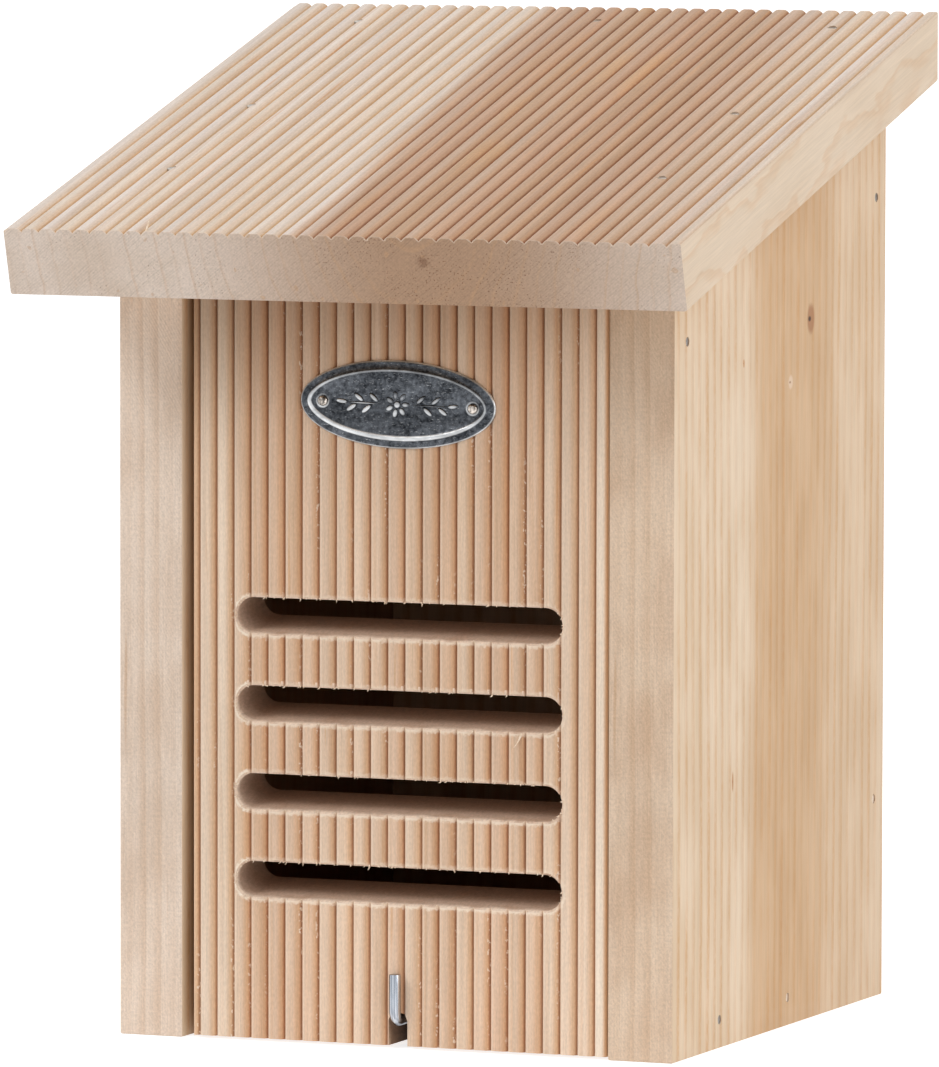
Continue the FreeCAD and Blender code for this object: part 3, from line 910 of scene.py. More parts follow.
@dataclass(frozen=True)
class SlotFace:
    """Routed wall of an entrance slot: fuzzy and pale at its mouth, partly from torn fibres and partly
    from a painted highlight, with painted shade that darkens it inwards.
    """

    name: str
    place: Matrix
    mouth_at: float
    # mouth: pale fibres and painted highlight at the mouth; pale and deep: painted shade, from near the
    # mouth to deep inside
    mouth: Colour = srgb(240, 216, 194)
    pale: Colour = srgb(202, 172, 150)
    deep: Colour = srgb(185, 151, 126)
    line: Colour = srgb(190, 152, 125)

    def make(self) -> Material:
        """Build the material."""
        material, bench = new_material(self.name)
        place = board_place(bench, self.place)
        _, _, through = place.split()
        fuzz = place.noise((1700, 1700, 700), 3.0, 0.7)
        patch = place.noise(160, 3.0)
        depth = self.mouth_at - through + (patch - 0.5) * (4 * MM)
        # Painted shade, darker the deeper into the board
        colour = depth.ease(2 * MM, 15 * MM).mix(self.pale, self.deep)
        # Painted highlight, with pale torn fibres, at the mouth
        colour = depth.ease(2.4 * MM, 0.2 * MM, 0.0, 0.85).mix(colour, self.mouth)
        colour = patch.ease(0.5, 0.7, 0.0, 0.4).mix(colour, self.line)
        colour = colour.tint(fuzz.ease(0.25, 0.75, 0.84, 1.1))
        bench.surface(Base_Color=colour, Roughness=fuzz.ease(0.2, 0.8, 0.7, 0.85),
                      Specular_IOR_Level=0.15, Normal=fuzz.bump(0.55, 0.25 * MM))
        return material


@dataclass(frozen=True)
class HeartBand:
    """Band of darker heart along a ribbed board: its edges at the lower end, and how they lean."""

    start: float
    stop: float
    start_lean: float = 0.0
    stop_lean: float = 0.0
    fade: float = 10 * MM
    stop_fade: float = 10 * MM
    amount: float = 0.9

    def mask(self, across: Value, along: Value) -> Value:
        """How much heart there is at a place across and along the board."""
        inner = (across + along * self.start_lean).ease(
            self.start - self.fade / 2, self.start + self.fade / 2)
        outer = (across + along * self.stop_lean).ease(
            self.stop + self.stop_fade / 2, self.stop - self.stop_fade / 2)
        return inner * outer * self.amount


@dataclass(frozen=True)
class SlotRow:
    """Row of equal round-ended slots: half of a slot's straight part, its radius and the places."""

    half: float
    radius: float
    lowest: float
    pitch: float
    count: int

    def fringe(self, place: Value) -> Value:
        """How torn the wood is round the slots: most at their left ends, then below them.

        Args:
            place: Place on the board.

        Returns:
            The amount.
        """
        across, along, _ = place.split()
        turns = (along - self.lowest) / self.pitch
        number = place.bench.math("MINIMUM", place.bench.math("ROUND", turns), self.count - 1.0)
        ahead = (turns - number.most(0.0)) * self.pitch
        aside = (abs(across) - self.half).most(0.0)
        fuzz = place.noise(900, 3.0, 0.7)
        away = aside.hypot(ahead) + fuzz * (2.4 * MM)
        left = across.ease(-self.half, -self.half - 2 * MM, 0.0, 0.9)
        below = ahead.ease(0.0, -self.radius, 0.3, 0.6)
        near = away.ease(self.radius + 2.7 * MM, self.radius + 1.8 * MM)
        return near * left.most(below)


@dataclass(frozen=True)
class RibbedFace:
    """Ribbed long-grain face: pale sapwood with a band of darker heart, each rib its own tone, with
    painted shade in its grooves and on its flanks, painted highlights on its shoulders and at its right
    edge, and painted light and shadow along it.
    """

    name: str
    place: Matrix
    pitch: float
    shift: float
    crest: float
    pale: Colour
    warm: Colour
    heart: Colour
    blush: Colour
    band: HeartBand
    amber: Colour = srgb(206, 162, 116)
    line: Colour = srgb(206, 158, 114)
    # Painted shade multiplied in: on the flanks, and in the grooves of the pale wood and of the heart
    flank: Colour = srgb(239, 218, 196)
    groove: Colour = srgb(221, 208, 203)
    heart_groove_shade: Colour = srgb(221, 208, 203)
    torn: Colour = srgb(244, 228, 208)
    half_width: float = 1.0
    # Strength of the painted highlight, with pale lifted fibres, on the left shoulders
    shoulder_fuzz_and_highlight: float = 0.3
    fleck_amount: float = 0.7
    sap_width: float = 4 * MM
    slots: SlotRow | None = None
    fade: PaintedLightFade = PaintedLightFade()

    def make(self) -> Material:
        """Build the material."""
        material, bench = new_material(self.name)
        place = board_place(bench, self.place)
        across, along, _ = place.split()
        grain = GRAIN.on(bench, Place=place, Ring_Pitch=3.4 * MM, Ring_Lean=0.6)
        ribs = RIB_TONE.on(bench, Place=place, Pitch=self.pitch, Shift=self.shift, Crest=self.crest)
        colour = ribs["Tone"].mix(self.pale, self.warm)
        wavy = across + (grain["Cloud"] - 0.5) * (14 * MM) + ribs["Offset"] * (7 * MM)
        heart = self.band.mask(wavy, along)
        colour = heart.mix(colour, self.heart_tone(ribs))
        edge = self.half_width
        wavy = across + ribs["Offset"] * (3 * MM)
        sap = wavy.ease(self.sap_width - edge, 0.6 * self.sap_width - edge, 0.0, 0.42)
        # Painted highlight on the last rib at the right edge, where it rounds off
        rim = across.ease(edge - 4 * MM, edge - 3 * MM, 0.0, 0.6)
        pale = wavy.ease(edge - 26 * MM, edge - 12 * MM, 0.0, 0.28)
        # Pale sapwood and pale edge, with the painted highlight on the last rib
        colour = sap.most(rim, pale).mix(colour, self.torn)
        # Painted shade where the right edge rounds down into the gap beside the wall
        corner = across.ease(edge - 1.3 * MM, edge - 0.3 * MM, 0.0, 0.8)
        colour = corner.mix(colour, self.line)
        colour = (grain["Late"] * 0.25).mix(colour, self.line)
        dash = place.noise((640, 22, 640), 1.0)
        colour = dash.ease(0.7, 0.8, 0.0, 0.55).mix(colour, self.line)
        colour = colour.tint(grain["Streak"].ease(0.3, 0.7, 0.92, 1.05))
        colour = colour.tint(grain["Fibre"].ease(0.25, 0.75, 0.93, 1.05))
        # Painted shade on the flanks, painted highlight on the shoulders, painted shade in the grooves
        colour = ribs["Flank"].mix(colour, self.flank, "MULTIPLY")
        colour = (ribs["Shoulder"] * self.shoulder_fuzz_and_highlight).mix(colour, self.torn)
        groove = heart.mix(self.groove, self.heart_groove_shade)
        colour = ribs["Groove"].mix(colour, groove, "MULTIPLY")
        grit = place.noise((2400, 900, 2400), 1.0)
        colour = colour.tint(grit.ease(0.25, 0.75, 0.94, 1.05))
        fleck = ribs["Fleck"] * self.fleck_amount
        if self.slots is not None:
            fleck = fleck.most(self.slots.fringe(place))
        colour = fleck.mix(colour, self.torn)
        # Painted light low down and painted shadow under the roof, reaching lower on the left as if lit
        # more from the right
        colour = self.fade.on(colour, along - across * 0.12)
        height = grain["Fibre"] + fleck * 2.0
        bench.surface(Base_Color=colour, Roughness=grain["Streak"].ease(0.2, 0.8, 0.64, 0.52),
                      Specular_IOR_Level=0.28, Normal=height.bump(0.4, 0.12 * MM))
        return material

    def heart_tone(self, ribs: Values) -> Value:
        """Colour of the heart: tan, pink or amber, rib by rib and along each rib."""
        tone = ribs["Blush"].ease(0.3, 0.7).mix(self.heart, self.blush)
        tone = ribs["Drift"].ease(0.5, 0.7, 0.0, 0.7).mix(tone, self.amber)
        return ribs["Tone"].ease(0.4, 0.0, 0.0, 0.14).mix(tone, self.pale)


@dataclass(frozen=True)
class ZincFinish:
    """Zinc or steel with a dulled skin, drawn out upright, and painted shade at its sides where they turn
    away from the view.
    """

    name: str
    dull: Colour
    bright: Colour
    size: float = 900.0
    smooth: float = 0.26
    rough: float = 0.46
    # How much painted shade darkens the sides
    edge: float = 0.0
    drawn: float = 0.35
    shade: Colour = srgb(34, 30, 26)

    def make(self) -> Material:
        """Build the material."""
        material, bench = new_material(self.name)
        across, deep, upright = bench.object_place().split()
        place = bench.vector(upright * (1.1 - self.drawn), across, deep)
        skin = ZINC_SKIN.on(bench, Place=place, Size=self.size)
        streaks = skin["Scratch"].ease(0.4, 0.7) * self.drawn
        light = streaks + skin["Patch"].ease(0.35, 0.68) * (1.35 - self.drawn)
        colour = light.mix(self.dull, self.bright)
        colour = (skin["Pit"] * 0.5).mix(colour, self.dull)
        # Painted shade towards the sides, where they turn away from the view
        if self.edge > 0.0:
            facing = bench.made("ShaderNodeLayerWeight", {}, "Facing")
            colour = facing.ease(0.1, 0.8, 0.0, self.edge).mix(colour, self.shade)
        bench.surface(Base_Color=colour, Metallic=1.0,
                      Roughness=skin["Patch"].ease(0.3, 0.7, self.rough, self.smooth),
                      Normal=skin["Patch"].bump(0.15, 0.1 * MM))
        return material


@dataclass(frozen=True)
class StampedZinc:
    """Dark brushed zinc sheet, its darkness partly standing for a dark reflection, whose rim, stamped
    ridges and pin hollows carry painted highlights, partly rubbed bright, most of all low down.
    """

    name: str
    middle: float
    seat: float
    half_height: float
    pins: tuple[Vector, ...]
    # Dark and grey of the field, partly standing for a dark reflection
    dark: Colour = srgb(24, 26, 30)
    grey: Colour = srgb(98, 102, 108)
    bright: Colour = srgb(236, 238, 240)
    size: float = 1600.0
    # Painted highlights: how they lean across the plate, the height of the ridges that catch them, partly
    # rubbed bright, and how much lower that height is low down
    highlight_lean: float = 0.16
    rubbed_highlight_above: float = 1.24 * MM
    highlight_lower: float = 0.24 * MM

    def make(self) -> Material:
        """Build the material."""
        material, bench = new_material(self.name)
        place = bench.object_place()
        across, depth, height = place.split()
        skin = ZINC_SKIN.on(bench, Place=place, Size=self.size)
        smear = place.noise((90, 200, 220), 3.0, 0.6)
        tone = skin["Patch"] * 0.6 + smear * 0.5
        colour = tone.ease(0.36, 0.76).mix(self.dark, self.grey)
        colour = skin["Scratch"].ease(0.6, 0.72, 0.0, 0.4).mix(colour, self.bright)
        # Painted highlights, partly rubbed metal: on the ridges, more low down and to one side, on the
        # rolled rim and round the pins
        raised = self.seat - depth
        low = (height - self.middle + across * self.highlight_lean).ease(
            0.5 * self.half_height, -0.6 * self.half_height)
        above = raised - (low * -self.highlight_lower + self.rubbed_highlight_above)
        ridge = above.ease(0.0, 0.2 * MM) * (low * 0.38 + 0.42)
        rim = raised.ease(0.8 * MM, 0.66 * MM, 0.0, 0.75)
        for pin in self.pins:
            over = height - pin.z
            hollow = (across - pin.x).hypot(over).ease(2.0 * MM, 1.7 * MM)
            rim = rim.most(hollow * over.ease(1.0 * MM, -1.2 * MM, 0.25, 0.8))
        # Painted highlight and rubbed metal, broken up by the smear
        worn = ridge.most(rim) * smear.ease(0.35, 0.6, 0.55, 1.0)
        colour = worn.mix(colour, self.bright)
        bench.surface(Base_Color=colour, Metallic=1.0, Roughness=tone.ease(0.3, 0.7, 0.4, 0.26),
                      Normal=tone.bump(0.3, 0.08 * MM))
        return material


def paint(piece: Piece, materials: Sequence[Material],
          choose: Callable[[Vector, Vector], int] = lambda point, normal: 0) -> Piece:
    """Give a piece its materials, face by face.

    Args:
        piece: Object to paint.
        materials: Its materials in order.
        choose: Takes a face's middle and normal and says which material it gets.

    Returns:
        The same object.
    """
    piece.data.materials.clear()
    for material in materials:
        piece.data.materials.append(material)
    for polygon in piece.data.polygons:
        polygon.material_index = choose(polygon.center, polygon.normal)
    return piece


# The house


ROOF_THICKNESS = 18 * MM
# Steel of most nails, with painted shade at its sides
STEEL = ZincFinish("nail_steel", srgb(122, 116, 110), srgb(178, 172, 166), size=1400.0, edge=0.35)
FRESH_STEEL = ZincFinish("fresh_nail_steel", srgb(190, 168, 146), srgb(222, 204, 184), size=1400.0)
ROOF_STEEL = ZincFinish("roof_nail_steel", srgb(162, 154, 144), srgb(216, 208, 198), size=1400.0)


class Side(Enum):
    """Side of the house, seen from the front."""

    LEFT = -1
    RIGHT = 1


@dataclass
class RibbedStock:
    """Decking board: flat below, with round ribs along its length on top.

    Its own frame has X across, Y along the ribs and Z up, and starts at the lower end's underside.
    """

    width: float
    length: float
    thickness: float
    rib_shift: float
    pitch: float = 4.84 * MM
    groove: float = 0.95 * MM
    crest_half: float = 1.35 * MM
    rib_half_width: float = 2.75 * MM
    shoulder_steps: int = 9
    corner: float = 0.6 * MM
    slices: int = 30

    def build(self) -> Piece:
        """Model the stock: one rib's outline, a row of them, a closed outline, and its length.

        Returns:
            The board in its own frame.
        """
        bend = self.rib_half_width - self.crest_half
        reach = (self.pitch / 2 - self.crest_half) / bend
        stretch = self.groove / bend / (1 - math.sqrt(1 - reach ** 2))
        side_ribs = math.ceil(self.width / 2 / self.pitch) + 1
        first = self.rib_shift - side_ribs * self.pitch
        bpy.ops.mesh.primitive_plane_add(size=1, rotation=(QUARTER, 0, 0))
        stock = added((2 * self.rib_half_width, 3 * bend, 1))
        with editing(stock, Element.VERT):
            pick(stock, Element.VERT, lambda point, normal: point.z > 0)
            bpy.ops.mesh.bevel(offset=bend, segments=self.shoulder_steps, affect="VERTICES")
            bpy.ops.mesh.select_all(action="SELECT")
            bpy.ops.mesh.delete(type="ONLY_FACE")
        top = 1.5 * bend * stretch
        stock.scale = (1, 1, stretch)
        settle(stock, moved((first, 0, self.thickness - top)))
        with editing(stock, Element.EDGE):
            slice_off((0, 0, self.thickness - 1.5 * self.groove), (0, 0, -1))
            slice_off((first - self.pitch / 2, 0, 0), (-1, 0, 0))
            slice_off((first + self.pitch / 2, 0, 0), (1, 0, 0))
        apply_modifier(
            stock, "ARRAY", count=2 * side_ribs + 1, use_relative_offset=False, use_constant_offset=True,
            constant_offset_displace=(self.pitch, 0, 0), use_merge_vertices=True,
            merge_threshold=0.02 * MM)
        with editing(stock, Element.EDGE):
            slice_off((-self.width / 2, 0, 0), (-1, 0, 0))
            slice_off((self.width / 2, 0, 0), (1, 0, 0))
            edge = self.width / 2 - CLOSE
            pick(stock, Element.VERT, lambda point, normal: abs(point.x) > edge)
            bpy.ops.mesh.extrude_vertices_move(
                TRANSFORM_OT_translate={"value": (0, 0, -self.thickness / 2)})
            resize((1, 1, 0))
            bpy.ops.mesh.edge_face_add()
            bpy.ops.mesh.select_all(action="SELECT")
            bpy.ops.mesh.edge_face_add()
            pick(stock, Element.VERT, lambda point, normal: abs(point.x) > edge)
            bpy.ops.mesh.bevel(offset=self.corner, segments=4, affect="VERTICES")
            bpy.ops.mesh.select_all(action="SELECT")
            for _ in range(self.slices):
                extrude(y=self.length / self.slices)
        return face_outwards(stock)


@dataclass(frozen=True)
class Layout:
    """Main places of the house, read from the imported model."""

    front: float
    back: float
    outside: float
    inside: float
    front_height: float
    slope: float

    @classmethod
    def read(cls) -> "Layout":
        """Take the places from the right side wall, whose top follows the roof."""
        low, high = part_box("right_wall")
        points = [vertex.co for vertex in frame["nodes"]["right_wall"].data.vertices]
        front_height = max(point.z for point in points if point.y < low.y + CLOSE)
        slope = math.atan2(high.z - front_height, high.y - low.y)
        return cls(low.y, high.y, high.x, low.x, front_height, slope)

    @property
    def roof_turn(self) -> Matrix:
        """Turn from level to the roof's slope."""
        return spun(self.slope, "X")

    def under_roof(self, y: float) -> float:
        """Height of the roof's underside at a place along Y."""
        return self.front_height + (y - self.front) * math.tan(self.slope)


@dataclass
class NailShape:
    """One flat-headed nail along its own -Z, its head seated at its origin."""

    head_radius: float = 1.2 * MM
    head_height: float = 0.8 * MM
    shank_radius: float = 0.75 * MM
    length: float = 40 * MM
    sides: int = 20
    rim_wear: float = 0.2
    dish_inset: float = 0.35
    dish_depth: float = 0.06 * MM
    grip_rings: int = 4
    ring_step: float = 0.6 * MM
    ring_taper: float = 0.92
    room: float = 0.05 * MM
    mouth_room: float = 0.07 * MM
    mouth: float = 3 * MM
    tip_room: float = 0.4 * MM

    def model(self) -> Piece:
        """Model the nail: a dished head with a worn rim, grip rings, a shank and its point."""
        nail = self.turned(self.head_radius, self.head_height, self.shank_radius,
                           self.length - self.head_height, self.grip_rings)
        with editing(nail, Element.EDGE):
            rim = self.head_radius - CLOSE
            pick(nail, Element.EDGE, lambda point, normal:
                 math.hypot(point.x, point.y) > rim and point.z > self.head_height - CLOSE)
            bpy.ops.mesh.bevel(offset=self.rim_wear * self.head_height, segments=2, affect="EDGES")
            top = self.head_height - CLOSE
            pick(nail, Element.FACE, lambda point, normal: point.z > top)
            bpy.ops.mesh.inset(thickness=self.dish_inset * self.head_radius)
            move(z=-self.dish_depth)
        return shade(nail)

    def cutter(self) -> Piece:
        """Room for the nail in a board, with a mouth above its head."""
        return self.turned(self.head_radius + self.mouth_room, self.mouth, self.shank_radius + self.room,
                           self.length - self.head_height + self.tip_room, 0)

    def turned(self, head_radius: float, head_height: float, shank_radius: float,
               reach: float, rings: int) -> Piece:
        """Head, shank and point as one closed shape.

        Args:
            head_radius: Radius of the head.
            head_height: Height of the head above the origin.
            shank_radius: Radius of the shank.
            reach: Length of the shank with its point.
            rings: Grip rings below the head.

        Returns:
            The new object, at the origin.
        """
        bpy.ops.mesh.primitive_cylinder_add(
            vertices=self.sides, radius=head_radius, depth=head_height, location=(0, 0, head_height / 2))
        nail = added()
        with editing(nail):
            pick_facing(nail, (0, 0, -1))
            bpy.ops.mesh.inset(thickness=head_radius - shank_radius)
            for factor in (self.ring_taper, 1 / self.ring_taper) * rings:
                extrude(z=-self.ring_step)
                resize((factor, factor, 1))
            sharpen(reach - 2 * rings * self.ring_step, shank_radius)
        return face_outwards(nail)


@dataclass
class Nailing:
    """Where the nails go: through the walls into floor, back and panel, and through the roof."""

    layout: Layout
    shape: NailShape
    floor_inset: float = 34 * MM
    floor_pitch: float = 50.6 * MM
    back_low: float = 54 * MM
    back_drop: float = 32.5 * MM
    roof_front: float = 18.2 * MM
    roof_middle: float = 70.8 * MM
    roof_back: float = 13.6 * MM
    roof_back_forward: float = 3.1 * MM
    roof_sink: float = 0.3 * MM
    wall_sink: float = 0.2 * MM
    fresh_below: float = 100 * MM

    def wall_places(self, side: Side) -> Places:
        """Places of the nails through one side wall, by the node that they stand for."""
        hand = side.name.lower()
        floor_low, floor_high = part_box("floor_board")
        back_low, back_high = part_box("back_panel")
        pivot = next(joint for joint in frame["joints"] if joint["name"] == "panel_swing")["pos_m"]
        deep = (floor_low.z + floor_high.z) / 2
        far = (back_low.y + back_high.y) / 2
        first = self.layout.front + self.floor_inset
        spots = {
            f"pivot_nail_{hand}": [(pivot[1], pivot[2])],
            f"floor_nails_{hand}": [(first, deep), (first + self.floor_pitch, deep)],
            f"back_nails_{hand}": [(far, self.back_low), (far, back_high.z - self.back_drop)],
        }
        turn = spun(side.value * QUARTER, "Y")
        seat = side.value * (self.layout.outside - self.shape.head_height - self.wall_sink)
        return {node: [moved((seat, y, z)) @ turn for y, z in points]
                for node, points in spots.items()}

    def roof_places(self) -> Places:
        """Places of the nails through the roof, by the node that they stand for."""
        layout = self.layout
        middle = (layout.outside + layout.inside) / 2
        along = [layout.front + self.roof_front, layout.front + self.roof_middle,
                 layout.back - self.roof_back]
        back_low, back_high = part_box("back_panel")
        spots = {
            "roof_nails_left": [(-middle, y) for y in along],
            "roof_nails_right": [(middle, y) for y in along],
            "roof_nail_back": [(0.0, (back_low.y + back_high.y) / 2 - self.roof_back_forward)],
        }
        rise = ROOF_THICKNESS - self.roof_sink - self.shape.head_height
        seat = layout.roof_turn @ moved((0, 0, rise))
        return {node: [moved((x, y, layout.under_roof(y))) @ seat for x, y in points]
                for node, points in spots.items()}

    def cutters(self, word: str) -> list[Piece]:
        """Room for the nails whose node has a word in its name."""
        places = self.wall_places(Side.LEFT) | self.wall_places(Side.RIGHT) | self.roof_places()
        return [settle(self.shape.cutter(), place)
                for node, group in places.items() if word in node for place in group]

    def build(self, places: Places, worn: Material, fresh: Material) -> None:
        """Model the nails of some places and hand them over, one piece for each node.

        Args:
            places: Places by node.
            worn: Finish of most nails.
            fresh: Finish of the nails low down in the rear half, which were driven last.
        """
        for node, group in places.items():
            first = self.shape.model()
            nails = [settle(copy_of(first), place) for place in group]
            bpy.data.objects.remove(first, do_unlink=True)
            nail = paint(join(nails), [worn, fresh],
                         lambda point, normal: int(point.y > 0 and point.z < self.fresh_below))
            hand_over(nail, f"steel_{node}", "box", [node])


@dataclass
class PlainBoards:
    """Plain boards of the box: two side walls, the back between them and the floor."""

    layout: Layout
    nailing: Nailing
    edge_round: float = 0.45 * MM
    knot_height: float = 187 * MM
    knot_inset: float = 100 * MM

    def plank(self, node: str) -> Piece:
        """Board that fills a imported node's box, its top cut to the roof's slope and its edges rounded.

        Args:
            node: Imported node.

        Returns:
            The new board.
        """
        low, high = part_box(node)
        bpy.ops.mesh.primitive_cube_add(size=1, location=(low + high) / 2)
        board = added(high - low)
        layout = self.layout
        with editing(board):
            slice_off((0, layout.front, layout.front_height),
                      (0, -math.sin(layout.slope), math.cos(layout.slope)), fill=True)
        with editing(board, Element.EDGE):
            bpy.ops.mesh.bevel(offset=self.edge_round, segments=2, affect="EDGES")
        return board

    def dress(self, board: Piece, face: PlankFace, edge: SawnFace, end: SawnFace, inwards: Vector,
              dark_from: float = -50 * MM) -> None:
        """Paint a board: planed faces, sawn edges and ends, and painted shade on its side inside the box.

        Args:
            board: Board to paint.
            face: Finish of its faces.
            edge: Finish of its long edges.
            end: Finish of its ends.
            inwards: Direction into the box.
            dark_from: Where across the board the painted shade on its inner side begins.
        """
        to_board = face.place.inverted().to_3x3()

        def choose(point: Vector, normal: Vector) -> int:
            """Finish of a face, by where it looks."""
            local = to_board @ normal
            if normal.dot(inwards) > LOOKS:
                return 3
            if abs(local.z) > LOOKS:
                return 0
            return 2 if abs(local.y) > LOOKS else 1

        # Faces that look into the box get painted shade: a darker copy of the face's finish
        rough = PlankFace(f"{face.name}_inside", face.place, inside_shade_from=dark_from)
        paint(shade(board), [face.make(), edge.make(), end.make(), rough.make()], choose)

    def build_wall(self, side: Side) -> None:
        """Model, carve, paint and hand over one side wall."""
        hand = side.name.lower()
        low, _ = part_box(f"{hand}_wall")
        # X across the wall is the part's Y, its grain stands upright
        place = moved(low) @ Matrix(((0, 0, 1, 0), (1, 0, 0, 0), (0, 1, 0, 0), (0, 0, 0, 1)))
        wall = carve(self.plank(f"{hand}_wall"), self.nailing.cutters(hand))
        knots = (Knot(self.knot_inset, self.knot_height),
                 Knot(85 * MM, 171 * MM, 1.5 * MM, 1.7 * MM, srgb(226, 200, 174), srgb(170, 126, 96)),
                 Knot(43 * MM, 69 * MM, 0.5 * MM, 2.4 * MM, srgb(192, 134, 84), srgb(180, 120, 72)),
                 Knot(50 * MM, 178 * MM, 0.5 * MM, 1.0 * MM, srgb(196, 140, 92), srgb(180, 120, 78)))
        # The wall's face gets painted light low down.
        face = PlankFace(f"{hand}_wall_face", place, knots=knots if side is Side.RIGHT else knots[:1],
                         fade=PaintedLightFade(1.06))
        # The front edge gets painted light low down and, on the right wall, a painted, redder shadow under
        # the roof.
        fade = PaintedLightFade(1.15, high=0.76, high_from=155 * MM, redder=1.1) if side is Side.RIGHT else PaintedLightFade(1.17)
        pale, dull = ((srgb(223, 199, 175), srgb(206, 176, 149)) if side is Side.RIGHT
                      else (srgb(229, 210, 193), srgb(215, 192, 172)))
        edge = SawnFace(f"{hand}_wall_edge", place, SawCut.EDGE, pale, dull, slant=0.55, saw_amount=0.2,
                        ring_amount=0.28, cloud_amount=0.8, fade=fade)
        end = SawnFace(f"{hand}_wall_end", place)
        # The painted shade inside the wall starts 3 mm behind its front edge, so the gap beside the front
        # reads dark
        self.dress(wall, face, edge, end, Vector((-side.value, 0, 0)), 3 * MM)
        hand_over(wall, f"side_board_{hand}", "box", [f"{hand}_wall"])
        self.nailing.build(self.nailing.wall_places(side), STEEL.make(), FRESH_STEEL.make())

    def build_back(self, cutters: Sequence[Piece]) -> None:
        """Model, carve, paint and hand over the back board.

        Args:
            cutters: Room for the hanger and its screws.
        """
        low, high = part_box("back_panel")
        place = moved((low.x, high.y, low.z)) @ spun(QUARTER, "X")
        board = carve(self.plank("back_panel"), self.nailing.cutters("back"))
        for cutter in cutters:
            carve(board, [cutter])
        face = PlankFace("back_face", place, heart_from=20 * MM, heart_to=52 * MM, knots=(
            Knot(78 * MM, 96 * MM, 3.4 * MM, 5.2 * MM), Knot(31 * MM, 205 * MM)))
        edge = SawnFace("back_edge", place, SawCut.EDGE)
        self.dress(board, face, edge, SawnFace("back_end", place), Vector((0, -1, 0)))
        hand_over(board, "back_board", "box", ["back_panel"])

    def build_floor(self, hook_bore: Piece) -> None:
        """Model, carve, paint and hand over the floor board.

        Args:
            hook_bore: Room for the latch hook's shank.
        """
        low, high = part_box("floor_board")
        place = moved((low.x, high.y, low.z)) @ spun(-QUARTER, "Z")
        board = carve(self.plank("floor_board"), [*self.nailing.cutters("floor"), hook_bore])
        face = PlankFace("floor_face", place, heart_amount=0.3)
        edge = SawnFace("floor_edge", place, SawCut.EDGE)
        self.dress(board, face, edge, SawnFace("floor_end", place), Vector((0, 0, 1)))
        hand_over(board, "bottom_board", "box", ["floor_board"])


